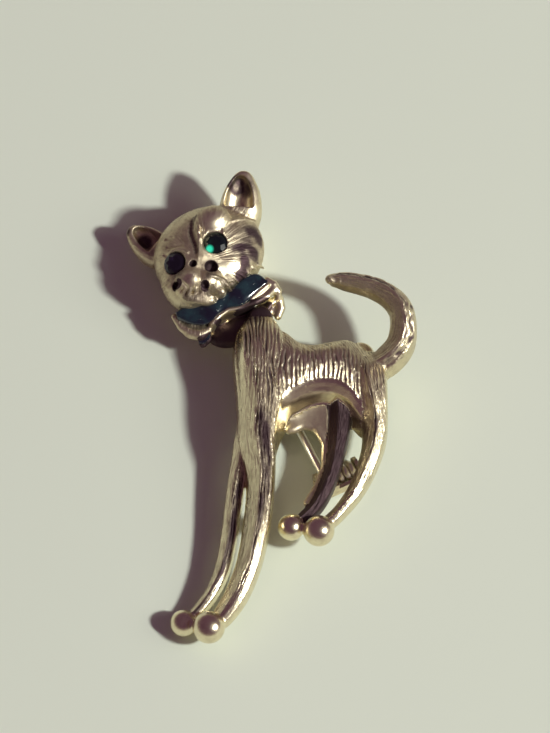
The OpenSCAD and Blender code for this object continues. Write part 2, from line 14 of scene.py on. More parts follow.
import bmesh
import bpy
import numpy as np
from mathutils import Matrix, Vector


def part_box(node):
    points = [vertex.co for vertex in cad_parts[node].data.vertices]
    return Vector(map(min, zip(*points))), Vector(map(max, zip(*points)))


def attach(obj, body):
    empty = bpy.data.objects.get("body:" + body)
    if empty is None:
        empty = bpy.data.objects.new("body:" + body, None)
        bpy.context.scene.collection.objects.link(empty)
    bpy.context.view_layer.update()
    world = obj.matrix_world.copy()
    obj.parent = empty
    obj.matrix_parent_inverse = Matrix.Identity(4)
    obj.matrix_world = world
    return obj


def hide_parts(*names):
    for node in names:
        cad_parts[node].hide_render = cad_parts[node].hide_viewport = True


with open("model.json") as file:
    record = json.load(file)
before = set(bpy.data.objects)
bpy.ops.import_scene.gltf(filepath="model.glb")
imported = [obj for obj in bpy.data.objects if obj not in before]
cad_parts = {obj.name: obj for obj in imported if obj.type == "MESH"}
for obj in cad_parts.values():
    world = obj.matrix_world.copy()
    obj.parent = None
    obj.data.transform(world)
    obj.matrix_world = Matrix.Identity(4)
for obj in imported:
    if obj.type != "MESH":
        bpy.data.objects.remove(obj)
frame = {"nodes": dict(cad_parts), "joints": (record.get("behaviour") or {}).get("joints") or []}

import openvdb
from mathutils import Matrix, Vector

START = time.time()
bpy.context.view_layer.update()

# %% [markdown]
# ## Sizes
# The casting is drawn in millimetres round the lower left corner of its torso. The sizes are the real ones
# that the frame was made from. Where the corner lies comes from the frame's own box, so that nothing is
# fitted by eye.

# %% Sizes in millimetres
MM = 0.001
TORSO_L = 17.4
TORSO_D = 7.0
RELIEF = 5.4
WALL = 1.2
BACK_Z = 3.23
DRAFT = 2.0
FRONT_LEG = 37.0
REAR_LEG = 22.6
CHEST_W = 5.6
HAUNCH_W = 4.7
LEG_W = 2.4
NEAR_FOOT_R = 1.88
FAR_FOOT_R = 1.57
TAIL_L = 15.0
TAIL_W = 3.4
NECK_L = 11.1
NECK_ANGLE = math.radians(122)
HEAD_W = 13.2
HEAD_H = 11.5
HEAD_T = 9.0
HEAD_ROLL = math.radians(27)
BLOCK_CELL = 0.11
STONE_R = 1.4

shoulder = np.array([TORSO_L * 0.152, TORSO_D * 1.22])
haunch = np.array([TORSO_L * 0.82, TORSO_D * 0.79])
tail_root = np.array([TORSO_L * 0.94, TORSO_D * 0.543])
near_front_foot = shoulder + FRONT_LEG * np.array([-0.16, -1.004])
far_front_foot = shoulder + FRONT_LEG * np.array([-0.239, -0.970])
near_rear_foot = haunch + REAR_LEG * np.array([-0.213, -0.998])
far_rear_foot = haunch + REAR_LEG * np.array([-0.355, -0.962])
body_low, body_high = [np.array(corner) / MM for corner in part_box("cast_body")]
corner = np.array([
    body_high[0] - (tail_root[0] + TAIL_L * 0.194 + TAIL_W * 0.47),
    body_low[1] - (near_front_foot[1] - NEAR_FOOT_R)])
head_at = shoulder + NECK_L * np.array([math.cos(NECK_ANGLE), math.sin(NECK_ANGLE)]) + corner
print("torso corner in the frame:", corner.round(3), "head centre:", head_at.round(3))

# %% [markdown]
# ## Tables of sections
# Each limb is a row of sections along a bent line: how far along, how far across, half the width, and how
# high its back and its front lie. A smooth curve through the rows gives the sections between them.

# %% Tables
FRONT_NEAR = [
    [-0.03, 0.000, 0.28, 0.10, 0.52], [0.03, 0.000, 0.46, 0.00, 0.84], [0.12, 0.003, 0.50, 0.00, 0.96],
    [0.25, 0.004, 0.44, 0.00, 0.94], [0.39, -0.002, 0.36, 0.00, 0.86], [0.52, 0.008, 0.26, 0.05, 0.72],
    [0.66, -0.003, 0.25, 0.03, 0.60], [0.79, -0.028, 0.23, -0.03, 0.48], [0.89, -0.066, 0.22, -0.12, 0.33],
    [0.96, -0.110, 0.19, -0.18, 0.18], [0.99, -0.140, 0.16, -0.15, 0.12]]
FRONT_FAR = [
    [0.27, -0.030, 0.40, 0.10, 0.50], [0.37, -0.050, 0.48, 0.02, 0.38], [0.44, -0.062, 0.46, -0.06, 0.31],
    [0.57, -0.082, 0.44, -0.17, 0.20], [0.70, -0.099, 0.41, -0.25, 0.12], [0.80, -0.120, 0.39, -0.30, 0.06],
    [0.87, -0.150, 0.36, -0.34, 0.00], [0.92, -0.185, 0.34, -0.38, -0.08],
    [0.955, -0.220, 0.30, -0.40, -0.14]]
REAR_NEAR = [
    [0.03, 0.000, 0.38, 0.00, 0.55], [0.14, 0.030, 0.49, 0.00, 0.90], [0.28, 0.056, 0.42, 0.02, 0.96],
    [0.39, 0.078, 0.31, 0.08, 0.86], [0.50, 0.077, 0.27, 0.12, 0.76], [0.61, 0.051, 0.24, 0.14, 0.69],
    [0.72, 0.010, 0.21, 0.15, 0.62], [0.81, -0.040, 0.19, 0.15, 0.55], [0.89, -0.101, 0.17, 0.14, 0.49],
    [0.945, -0.155, 0.17, 0.14, 0.44], [0.975, -0.195, 0.15, 0.16, 0.38]]
REAR_FAR = [
    [0.20, -0.112, 0.56, 0.05, 0.45], [0.27, -0.112, 0.56, 0.00, 0.50], [0.42, -0.108, 0.53, 0.00, 0.45],
    [0.53, -0.122, 0.46, 0.00, 0.42], [0.64, -0.143, 0.42, 0.00, 0.40], [0.75, -0.180, 0.41, 0.00, 0.38],
    [0.84, -0.225, 0.39, 0.00, 0.35], [0.90, -0.280, 0.36, 0.00, 0.30], [0.935, -0.320, 0.32, 0.02, 0.26]]
TAIL = [
    [0.05, -0.080, 0.44, 0.12, 0.70], [-0.01, 0.060, 0.52, 0.32, 0.92], [-0.11, 0.163, 0.51, 0.48, 1.08],
    [-0.24, 0.194, 0.47, 0.63, 1.22], [-0.37, 0.178, 0.43, 0.74, 1.30], [-0.47, 0.101, 0.39, 0.80, 1.34],
    [-0.54, -0.016, 0.35, 0.83, 1.33], [-0.58, -0.140, 0.32, 0.85, 1.31], [-0.603, -0.256, 0.29, 0.87, 1.28],
    [-0.611, -0.335, 0.22, 0.92, 1.22]]
TORSO = [  # how far along, back line, belly's edge, height of the front
    [0.10, 1.20, -0.95, 0.50], [0.17, 1.24, -0.90, 0.74], [0.25, 1.28, -0.68, 0.87],
    [0.33, 1.18, -0.26, 0.93], [0.41, 0.99, -0.11, 0.95], [0.50, 0.93, -0.01, 0.96],
    [0.58, 0.95, 0.01, 0.97], [0.66, 1.00, -0.03, 0.98], [0.74, 1.03, -0.15, 0.96],
    [0.82, 0.95, -0.38, 0.84], [0.90, 0.80, -0.46, 0.66], [0.955, 0.60, -0.30, 0.45]]
# sections seen along a limb or the torso: place across, height
TORSO_SECTION = [[0.0, 0.76], [0.08, 0.83], [0.16, 0.885], [0.3, 0.955], [0.45, 0.995], [0.6, 0.98],
    [0.72, 0.90], [0.84, 0.74], [0.93, 0.50], [1.0, 0.20]]
CHEST_SECTION = [[-1, 0.36], [-0.94, 0.54], [-0.28, 0.92], [-0.08, 0.99], [0.15, 1.0], [0.35, 0.97],
    [0.92, 0.80], [1, 0.36]]
CHEST_START = [[-1, 0.36], [-0.96, 0.62], [-0.74, 0.90], [-0.42, 0.985], [0.0, 1.0], [0.35, 0.98],
    [0.92, 0.84], [1, 0.36]]
LEG_SECTION = [[-1, 0.35], [-0.93, 0.52], [-0.25, 0.91], [-0.05, 1.0], [0.12, 0.99], [0.92, 0.80], [1, 0.35]]
TAIL_SECTION = [[-1, 0.45], [-0.85, 0.72], [-0.5, 0.88], [-0.2, 1.0], [0.1, 0.93], [0.6, 0.72], [0.9, 0.5],
    [1, 0.3]]
ALL_ROWS = (FRONT_NEAR, FRONT_FAR, REAR_NEAR, REAR_FAR, TAIL, TORSO)
# shares of the way: where the chest's own first section gives way, and where a leg has its knee
CHEST_BLEND = (0.15, 0.32)
KNEE = (0.5, 0.75)
print("sections in the tables:", sum(len(rows) for rows in ALL_ROWS))


# %% Curves through the tables
def smooth_rows(rows, steps):
    """The rows of a table joined by a smooth curve."""
    rows = np.array(rows, float)
    place = np.linspace(0, len(rows) - 1, steps + 1)
    i = np.minimum(place.astype(int), len(rows) - 2)
    t = (place - i)[:, None]
    a, b = rows[np.maximum(i - 1, 0)], rows[i]
    c, d = rows[i + 1], rows[np.minimum(i + 2, len(rows) - 1)]
    return 0.5 * (2 * b + (c - a) * t + (2 * a - 5 * b + 4 * c - d) * t**2 + (3 * b - a - 3 * c + d) * t**3)


def curve(table, at):
    """Height of a section at places across it, smoothly joined."""
    fine = smooth_rows(table, 80)
    return np.interp(at, fine[:, 0], fine[:, 1])


print("height of the chest's section at its middle:", round(float(curve(CHEST_SECTION, 0)), 3))

# %% [markdown]
# ## A block of distances
# A casting has no sharp seams: its parts melt into each other. A block of cells that each hold the distance
# to the nearest surface can say that directly, because two distances blend into one soft joint. Fur is cut
# in by adding the depth of its grooves. The volume library then turns the block into a mesh, and the same
# numbers every run give the same mesh.


# %% Soft joints and noise
def soft_min(a, b, r):
    """The smaller of two distances, blended where they differ by less than r."""
    h = np.clip(0.5 + 0.5 * (b - a) / r, 0, 1)
    return b + (a - b) * h - r * h * (1 - h)


def soft_max(a, b, r):
    """The larger of two distances, blended in the same way."""
    return -soft_min(-a, -b, r)


def ramp(low, high, v):
    """From 0 at low to 1 at high, with soft ends."""
    t = np.clip((v - low) / (high - low), 0, 1)
    return t * t * (3 - 2 * t)


def noise(p, q, seed):
    """Smooth random values from 0 to 1 over two coordinates, the same for the same seed."""
    table = np.random.default_rng(seed).random((64, 64)).astype(np.float32)
    i, j = np.floor(p).astype(int), np.floor(q).astype(int)
    u, v = ramp(0, 1, p - i), ramp(0, 1, q - j)
    low = table[i % 64, j % 64] * (1 - u) + table[(i + 1) % 64, j % 64] * u
    high = table[i % 64, (j + 1) % 64] * (1 - u) + table[(i + 1) % 64, (j + 1) % 64] * u
    return low * (1 - v) + high * v


print("a soft joint of two faces that meet:", round(float(soft_min(np.float32(0), np.float32(0), 0.4)), 3))

# %% Blocks
BELOW, ABOVE = [-99] * 3, [99] * 3  # beyond any block
FAR_OFF = 3.0  # the distance that an empty cell holds


class Block:
    """Cells in millimetres, each with the distance to the casting's surface and the coat that owns it."""

    def __init__(self, low, high, cell):
        self.cell = cell
        self.low = np.array(low, float)
        self.count = np.ceil((np.array(high) - self.low) / cell).astype(int) + 1
        axes = [(self.low[i] + cell * np.arange(self.count[i])).astype(np.float32) for i in range(3)]
        self.x, self.y, self.z = axes[0][:, None, None], axes[1][None, :, None], axes[2][None, None, :]
        self.field = np.full(self.count, FAR_OFF, np.float32)
        self.owner = np.zeros(self.count, np.uint8)
        self.coats = [None]

    def window(self, low, high):
        """The cells between two corners."""
        a = np.clip(np.floor((np.array(low) - self.low) / self.cell).astype(int), 0, self.count - 1)
        b = np.clip(np.ceil((np.array(high) - self.low) / self.cell).astype(int) + 1, 1, self.count)
        return tuple(slice(i, j) for i, j in zip(a, b))

    def axes(self, w):
        return self.x[w[0]], self.y[:, w[1]], self.z[:, :, w[2]]

    def add(self, w, shape, r, coat=0):
        old = self.field[w]
        if coat:
            self.owner[w][shape < old] = coat
        self.field[w] = soft_min(old, shape, r)

    def cut(self, w, shape, r):
        self.field[w] = soft_max(self.field[w], -shape, r)

    def ball(self, at, radii, r, cut=False, coat=0, turn=0.0):
        """Adds or cuts an ellipsoid, turned in plan by an angle."""
        at, radii = np.array(at, float), np.array(radii, float) * np.ones(3)
        reach = radii.max() + r + 0.3
        w = self.window(at - reach, at + reach)
        x, y, z = self.axes(w)
        c, s = math.cos(turn), math.sin(turn)
        dx, dy, dz = x - at[0], y - at[1], z - at[2]
        px, py = dx * c + dy * s, dy * c - dx * s
        k0 = np.sqrt((px / radii[0])**2 + (py / radii[1])**2 + (dz / radii[2])**2) + 1e-6
        k1 = np.sqrt((px / radii[0]**2)**2 + (py / radii[1]**2)**2 + (dz / radii[2]**2)**2) + 1e-6
        shape = k0 * (k0 - 1) / k1
        if cut:
            self.cut(w, shape, r)
        else:
            self.add(w, shape, r, coat)

    def rod(self, points, radii, r, cut=False, coat=0):
        """Adds or cuts a bent rod whose radius changes from point to point."""
        points, radii = np.array(points, float), np.array(radii, float) * np.ones(len(points))
        reach = radii.max() + r + 0.3
        w = self.window(points.min(0) - reach, points.max(0) + reach)
        x, y, z = self.axes(w)
        shape = None
        for a, b, ra, rb in zip(points[:-1], points[1:], radii[:-1], radii[1:]):
            ab = b - a
            t = np.clip(((x - a[0]) * ab[0] + (y - a[1]) * ab[1] + (z - a[2]) * ab[2]) / (ab @ ab), 0, 1)
            d = np.sqrt((x - a[0] - t * ab[0])**2 + (y - a[1] - t * ab[1])**2 + (z - a[2] - t * ab[2])**2)
            d = d - (ra + (rb - ra) * t)
            shape = d if shape is None else np.minimum(shape, d)
        if cut:
            self.cut(w, shape, r)
        else:
            self.add(w, shape, r, coat)


print("cell of a block in mm:", BLOCK_CELL)


# %% [markdown]
# ## Limbs
# Every limb lies along a bent line in plan, so the way to it is a flat problem: for each place in plan the
# nearest stretch of the line gives how far along the limb the place is and how far to its side. The section
# then gives the height. The same two numbers carry the fur, which runs along the limb.


# %% Limbs laid out in plan
def lay_out(block, rows, root, length, width):
    """For each place in plan: share of the limb's way, distance to its side, half width and heights."""
    steps = 60
    r = smooth_rows(rows, steps)
    line = np.array(root) + length * np.stack([r[:, 1], -r[:, 0]], 1)
    reach = width * r[:, 2].max() + 2
    low, high = line.min(0) - reach, line.max(0) + reach
    w = block.window([*low, BELOW[2]], [*high, ABOVE[2]])
    x, y = block.x[w[0]][:, :, 0], block.y[:, w[1]][:, :, 0]
    best = np.full((x.shape[0], y.shape[1]), 1e9, np.float32)
    share, side = np.zeros_like(best), np.zeros_like(best)
    for k in range(steps):
        a, ab = line[k], line[k + 1] - line[k]
        px, py = x - a[0], y - a[1]
        t = np.clip((px * ab[0] + py * ab[1]) / (ab @ ab), 0, 1)
        d = (px - t * ab[0])**2 + (py - t * ab[1])**2
        near = d < best
        best = np.where(near, d, best)
        share = np.where(near, (k + t) / steps, share)
        side = np.where(near, ab[0] * py - ab[1] * px, side)
    steps_at = np.linspace(0, 1, steps + 1)
    return {
        "window": w, "share": share, "across": np.sqrt(best) * np.sign(side),
        "along": np.interp(share, steps_at, np.concatenate([[0], np.cumsum(np.hypot(*np.diff(line.T)))])),
        "half": np.interp(share, steps_at, width * r[:, 2]),
        "low": np.interp(share, steps_at, BACK_Z + RELIEF * r[:, 3]),
        "high": np.interp(share, steps_at, BACK_Z + RELIEF * r[:, 4])}


# %% Shape of a limb
def section_height(plan, section, start, u):
    """Height of a limb's section. A second section, where one is given, holds where the limb starts."""
    height = curve(section, u)
    if start:
        height = height + (curve(start, u) - height) * (1 - ramp(*CHEST_BLEND, plan["share"]))
    return height


def limb_shape(block, plan, section, flare=0.0, inset=0.0, start=None):
    """Distance to a limb. A flare widens its left side towards the back, an inset gives the hollow in it."""
    z, step = block.z, 0.04
    u = np.clip(plan["across"] / plan["half"], -1, 1)
    rise = plan["high"] - plan["low"]
    top = plan["low"] + rise * section_height(plan, section, start, u)
    before = section_height(plan, section, start, u - step)
    beside = section_height(plan, section, start, np.clip(u + step, -1, 1)) - before
    slope = rise / plan["half"] * beside / (2 * step)
    square = np.clip(1 / np.sqrt(1 + slope**2), 0.4, 1)
    face = (z - top[:, :, None]) * square[:, :, None] + inset
    side = (np.abs(plan["across"]) - plan["half"])[:, :, None] + inset
    if flare:
        deep = np.clip((plan["high"][:, :, None] - z) / rise[:, :, None], 0, 1)
        side = side - flare * deep * (plan["across"] < 0)[:, :, None]
    shape = soft_max(side, face, 0.35)
    if not inset:
        shape = soft_max(shape, plan["low"][:, :, None] - z, 0.12)
    return shape.astype(np.float32)


def strands(across, along, pitch, run, seed):
    """Depth from 0 to 1 of irregular strands of fur: a pitch apart, and broken every run along them."""
    sway = 1.3 * noise(along / run, across / (3 * pitch), seed + 7)
    sway = sway + 0.35 * noise(along / (0.35 * run), across / pitch, seed + 8)
    lines = 0.5 - 0.5 * np.cos(2 * math.pi * (across / pitch + sway))
    broken = noise(across / pitch + sway, along / (0.5 * run), seed)
    return np.clip(lines * (0.15 + 1.15 * broken), 0, 1)


MARGIN = 0.6
body = Block(body_low - MARGIN, body_high + MARGIN, BLOCK_CELL)
print("cells of the body's block:", body.count)


# %% Coats of fur on the body
def add_coat(block, window, across, along, groove, polish):
    """Notes for one part of a casting where its fur runs, how deep, and how much painted shade it carries,
    over the whole plan.
    """
    maps = []
    for value in (across, along, groove, polish):
        full = np.zeros(block.count[:2], np.float32)
        full[window[0], window[1]] = value
        maps.append(full)
    block.coats.append(maps)
    return len(block.coats) - 1


def limb_finish(plan, pitch, run, seed, bare, painted_shade, outer, strip, start):
    """Maps over a limb's plan: the grooves of its fur, its painted shade and its polish."""
    share, side = plan["share"], -plan["across"] / plan["half"]
    begun = ramp(0.0, 0.015, share)
    cover = (1 - ramp(0.8, 0.98, np.abs(side))) * (1 - ramp(*bare, share)) * begun
    shine = 1 - cover
    if strip:
        # a polished strip on the right, a valley of painted shade beside it and a plain flank on the left
        bright, upper, lower = strip
        bound = upper + (lower - upper) * ramp(*KNEE, share)
        edge = bright * (1 - ramp(bound - 0.15, bound + 0.1, side)) * ramp(0.15, 0.35, share)
        first = 1 - ramp(*CHEST_BLEND, share) if start else 0.0
        flank = ramp(0.12 + 0.55 * first, 0.3 + 0.5 * first, side)
        valley = ramp(bound - 0.05, bound + 0.15, side) * (1 - ramp(0.0, 0.22, side))
        valley = valley * (0.15 + 0.85 * ramp(0.2, 0.38, share))
        cover = cover * (1 - edge) * (1 - 0.88 * flank)
        shine = np.maximum(np.maximum(shine * (1 - flank), edge), 0.35 * first) + 0.5 * flank
        cloudy = 0.5 + 0.5 * noise(plan["along"] / 1.7, side * 3, seed)
        painted_shade = np.maximum(painted_shade * (1 - flank), valley * cloudy)
        # painted shade where the limb starts out of the body
        painted_shade = np.maximum(painted_shade, (1.2 if start else 0.4) * (1 - begun))
    if outer:
        cover = cover * (plan["across"] < -0.15 * plan["half"])
        shine = np.full_like(cover, 0.3)
        # painted shade on the inner bevel
        painted_shade = 0.5 * (plan["across"] > 0)
    groove = strands(plan["across"], plan["along"], pitch, run, seed) * cover
    return groove, np.maximum(groove, painted_shade), shine


def add_limb(block, rows, root, length, width, section, depth, pitch, run, seed, bare=(2, 3), flare=0.0,
        joint=0.5, painted_shade=0.0, outer=False, strip=None, start=None):
    """A limb with its fur. Bare is the share of the way from which the fur fades, and to which."""
    plan = lay_out(block, rows, root + corner, length, width)
    shape = limb_shape(block, plan, section, flare, start=start)
    groove, patina_and_shade, shine = limb_finish(plan, pitch, run, seed, bare, painted_shade, outer, strip, start)
    coat = add_coat(block, plan["window"], plan["across"], plan["along"], patina_and_shade, shine)
    block.add(plan["window"], shape + (depth * groove)[:, :, None].astype(np.float32), joint, coat)
    return plan


# %% The four legs
LEGS = {  # rows, root, length, width, section; depth, pitch and run of the fur, seed; and what is special
    # painted shade: the far hind leg is darkened all over, as if the near hind leg shaded it
    "rear_far": [(REAR_FAR, haunch, REAR_LEG, LEG_W, LEG_SECTION, 0.05, 0.5, 3.0, 11),
        {"joint": 0.3, "painted_shade": 1.2}],
    "front_far": [(FRONT_FAR, shoulder, FRONT_LEG, LEG_W, LEG_SECTION, 0.16, 0.34, 2.6, 12),
        {"joint": 0.3, "bare": (0.5, 0.8), "strip": (0.3, -0.75, -0.4)}],
    "front_near": [(FRONT_NEAR, shoulder, FRONT_LEG, CHEST_W, CHEST_SECTION, 0.22, 0.40, 3.4, 13),
        {"joint": 0.25, "bare": (0.75, 0.95), "strip": (0.9, -0.75, -0.05), "flare": 0.5,
            "start": CHEST_START}],
    "rear_near": [(REAR_NEAR, haunch, REAR_LEG, HAUNCH_W, LEG_SECTION, 0.16, 0.36, 1.8, 14),
        {"joint": 0.9, "bare": (0.55, 0.8), "strip": (0.5, -0.2, 0.05), "flare": 0.3}]}
plans = {name: add_limb(body, *sizes, **special) for name, (sizes, special) in LEGS.items()}
print("seconds so far:", round(time.time() - START, 1))

# %% [markdown]
# ## Torso
# The torso is a shell with an open back. Its front bulges between the back line and the belly's edge,
# upright ribs of fur run over it, and the belly's wall is smooth and leans in a little so that the casting
# leaves its mould.

# %% Torso
RIB_PITCH = 0.52
RIB_DEPTH = 0.2


def torso_shape(block, w, inset=0.0):
    """Distance to the torso and the maps that its ribs need."""
    x, y, z = block.axes(w)
    x2, y2 = x[:, :, 0] - corner[0], y[:, :, 0] - corner[1]
    rows = smooth_rows(TORSO, 90)
    at, back, belly = TORSO_L * rows[:, 0], TORSO_D * rows[:, 1], TORSO_D * rows[:, 2]
    back_y, belly_y = np.interp(x2, at, back), np.interp(x2, at, belly)
    crest = np.interp(x2, at, rows[:, 3])
    back_run = np.interp(x2, at, 1 / np.sqrt(1 + np.gradient(back, at)**2))
    belly_run = np.interp(x2, at, 1 / np.sqrt(1 + np.gradient(belly, at)**2))
    deep = back_y - belly_y
    u = np.clip((y2 - belly_y) / deep, 0, 1)
    top = BACK_Z + RELIEF * crest * curve(TORSO_SECTION, u)
    step = 0.03
    beside = curve(TORSO_SECTION, np.clip(u + step, 0, 1)) - curve(TORSO_SECTION, u - step)
    slope = RELIEF * crest / deep * beside / (2 * step)
    square = np.clip(1 / np.sqrt(1 + slope**2), 0.45, 1)
    rim = BACK_Z + RELIEF * crest * TORSO_SECTION[0][1]
    lean = DRAFT * np.clip((rim[:, :, None] - z) / (rim - BACK_Z)[:, :, None], 0, 1)
    belly_wall = (belly_y[:, :, None] - lean - y2[:, :, None]) * belly_run[:, :, None] + inset
    back_wall = ((y2 - back_y) * back_run)[:, :, None] + inset
    ends = np.maximum(at[0] - x2, x2 - at[-1])[:, :, None] + inset
    face = (z - top[:, :, None]) * square[:, :, None] + inset
    shape = soft_max(soft_max(face, belly_wall, 0.9), soft_max(back_wall, ends, 0.3), 0.6)
    if not inset:
        shape = soft_max(shape, BACK_Z - z, 0.12)
    return shape.astype(np.float32), (y2 - belly_y) / deep, x2, y2


# %% Ribs of the torso
torso_w = body.window([corner[0] + 0.5, corner[1] - 9, 0],
    [corner[0] + TORSO_L + 1, corner[1] + TORSO_D * 1.4, ABOVE[2]])
torso, torso_u, torso_x, torso_y = torso_shape(body, torso_w)
sway = 1.1 * noise(torso_x / 1.3, torso_y / 2.0, 21) + 0.35 * noise(torso_x / 0.5, torso_y / 0.7, 22)
ribs = 0.5 - 0.5 * np.cos(2 * math.pi * (torso_x / RIB_PITCH + sway))
broken = noise(torso_x / (0.9 * RIB_PITCH) + sway, torso_y / 0.8, 23)
slant = strands(0.8 * torso_x + 0.6 * torso_y, 0.8 * torso_y - 0.6 * torso_x, 0.36, 1.3, 24)
upper = ramp(0.5, 0.8, torso_u)
ribs = np.clip(ribs * (0.3 + 1.0 * broken), 0, 1) * (1 - upper) + 0.6 * slant * upper
cover = ramp(0.1, 0.2, torso_u)
rim = ramp(-0.3, -0.25, torso_u) * (1 - ramp(0.1, 0.18, torso_u))
# darker in the grooves, with painted shade over the upper part of the torso
torso_grooves_and_shade = np.clip(0.85 * ribs + 0.2 * upper, 0, 1) * cover
torso_polish = np.maximum(rim, 0.4 * (1 - upper) * cover)
torso_coat = add_coat(body, torso_w, torso_x, torso_y, torso_grooves_and_shade, torso_polish)
body.add(torso_w, torso + (RIB_DEPTH * ribs * cover)[:, :, None].astype(np.float32), 0.45, torso_coat)
print("seconds so far:", round(time.time() - START, 1))

# %% [markdown]
# ## Hollow back, tail, feet and knob
# The back of the torso and of the chest is cored out. The tail is a bar with a ridge: a textured outer
# bevel and a smooth inner one. Feet and knob are polished balls.

# %% Hollow back
body.cut(torso_w, torso_shape(body, torso_w, WALL)[0], 0.4)
chest = plans["front_near"]
chest_hollow = limb_shape(body, chest, CHEST_SECTION, inset=WALL, start=CHEST_START)
ends = (np.maximum(0.12 - chest["share"], chest["share"] - 0.40) * FRONT_LEG)[:, :, None]
body.cut(chest["window"], np.maximum(chest_hollow, ends.astype(np.float32)), 0.4)

# %% Tail
add_limb(body, TAIL, tail_root, TAIL_L, TAIL_W, TAIL_SECTION, 0.14, 0.8, 1.1, 15, joint=0.35, outer=True)
tip = smooth_rows(TAIL, 60)[-1]
tip_at = tail_root + corner + TAIL_L * np.array([tip[1], -tip[0]])
tip_z = BACK_Z + RELIEF * (tip[3] + tip[4]) / 2
knob = TAIL_W * 0.2
body.ball([tip_at[0] - knob * 0.5, tip_at[1] - knob * 0.05, tip_z], [knob * 1.15, knob * 0.92, knob], 0.12)
body.ball([tip_at[0] + knob * 0.85, tip_at[1], tip_z], [knob * 0.45, knob * 1.2, knob * 1.25], 0.08)

# %% Feet
FEET = {  # place, height of the middle, radius
    "near_front": (near_front_foot, NEAR_FOOT_R + 1.4, NEAR_FOOT_R),
    "far_front": (far_front_foot, FAR_FOOT_R, FAR_FOOT_R),
    "near_rear": (near_rear_foot, BACK_Z + RELIEF * 0.27, NEAR_FOOT_R * 0.97),
    "far_rear": (far_rear_foot, BACK_Z + RELIEF * 0.12, FAR_FOOT_R)}
ball_coat = add_coat(body, body.window(BELOW, ABOVE), 0, 0, 0, 1)
for at, z, radius in FEET.values():
    body.ball([*(at + corner), z], radius, 0.25, coat=ball_coat)
for pair in (("near_front", "far_front"), ("near_rear", "far_rear")):
    ends = [[*(FEET[name][0] + corner), FEET[name][1]] for name in pair]
    body.rod(ends, FAR_FOOT_R * 0.4, 0.2, coat=ball_coat)
print("feet:", len(FEET))

# %% What lies under the belly
# a band along the far hind leg, and the wall that it ends, in millimetres of the frame
BAND = [(2.0, -2.6), (2.5, -2.5), (3.6, -1.9), (5.0, -2.2), (6.2, -4.3), (6.15, -7.1), (5.3, -9.7),
    (4.1, -11.8)]
SHELF_X, SHELF_Y = [2.5, 3.6, 5.0, 6.2, 7.4], [-2.5, -1.9, -2.2, -3.4, -3.4]
# the band and the shelf under the belly carry a little painted shade
under_belly_shade_coat = add_coat(body, torso_w, 0, 0, 0.3, 0)
body.rod([(*at, 3.85) for at in BAND], 0.45, 0.2, coat=under_belly_shade_coat)
for x in np.linspace(2.2, 7.4, 14):
    body.rod([(x, np.interp(x, SHELF_X, SHELF_Y), 3.8), (x, 1.5, 4.7)], 0.42, 0.35, coat=under_belly_shade_coat)
neck = [math.cos(NECK_ANGLE), math.sin(NECK_ANGLE)]
tongue_z = BACK_Z * 0.72 + RELIEF * 0.07
tongue = [[*(shoulder + corner + NECK_L * s * np.array(neck)), tongue_z] for s in (0.1, 0.93)]
body.rod(tongue, 1.15, 0.3)
print("seconds so far:", round(time.time() - START, 1))

# %% [markdown]
# ## From block to mesh
# The mesh keeps, for every point, where the fur runs, how deep the point lies in a groove and how much
# painted shade it carries, and how polished it is. The materials read these three values, so that patina
# settles in the real grooves, painted shade darkens where it is marked, and polish follows the real rims.


# %% Objects
def new_object(name, data):
    """An object with its mesh, lamp or camera, linked into the scene."""
    made = bpy.data.objects.new(name, data)
    bpy.context.scene.collection.objects.link(made)
    return made


def finished(name, shape, smooth=False):
    """An object from a bmesh shape that is in metres."""
    bmesh.ops.recalc_face_normals(shape, faces=shape.faces)
    mesh = bpy.data.meshes.new(name)
    shape.to_mesh(mesh)
    shape.free()
    if smooth:
        mesh.shade_smooth()
    return new_object(name, mesh)


# %% Mesh of a block
def sampled(block, full, points):
    """Values of a map of the plan at points of the mesh."""
    p = np.clip((points[:, :2] - block.low[:2]) / block.cell, 0, block.count[:2] - 1.001)
    i = p.astype(int)
    t = p - i
    a = full[i[:, 0], i[:, 1]] * (1 - t[:, 0]) + full[i[:, 0] + 1, i[:, 1]] * t[:, 0]
    b = full[i[:, 0], i[:, 1] + 1] * (1 - t[:, 0]) + full[i[:, 0] + 1, i[:, 1] + 1] * t[:, 0]
    return a * (1 - t[:, 1]) + b * t[:, 1]


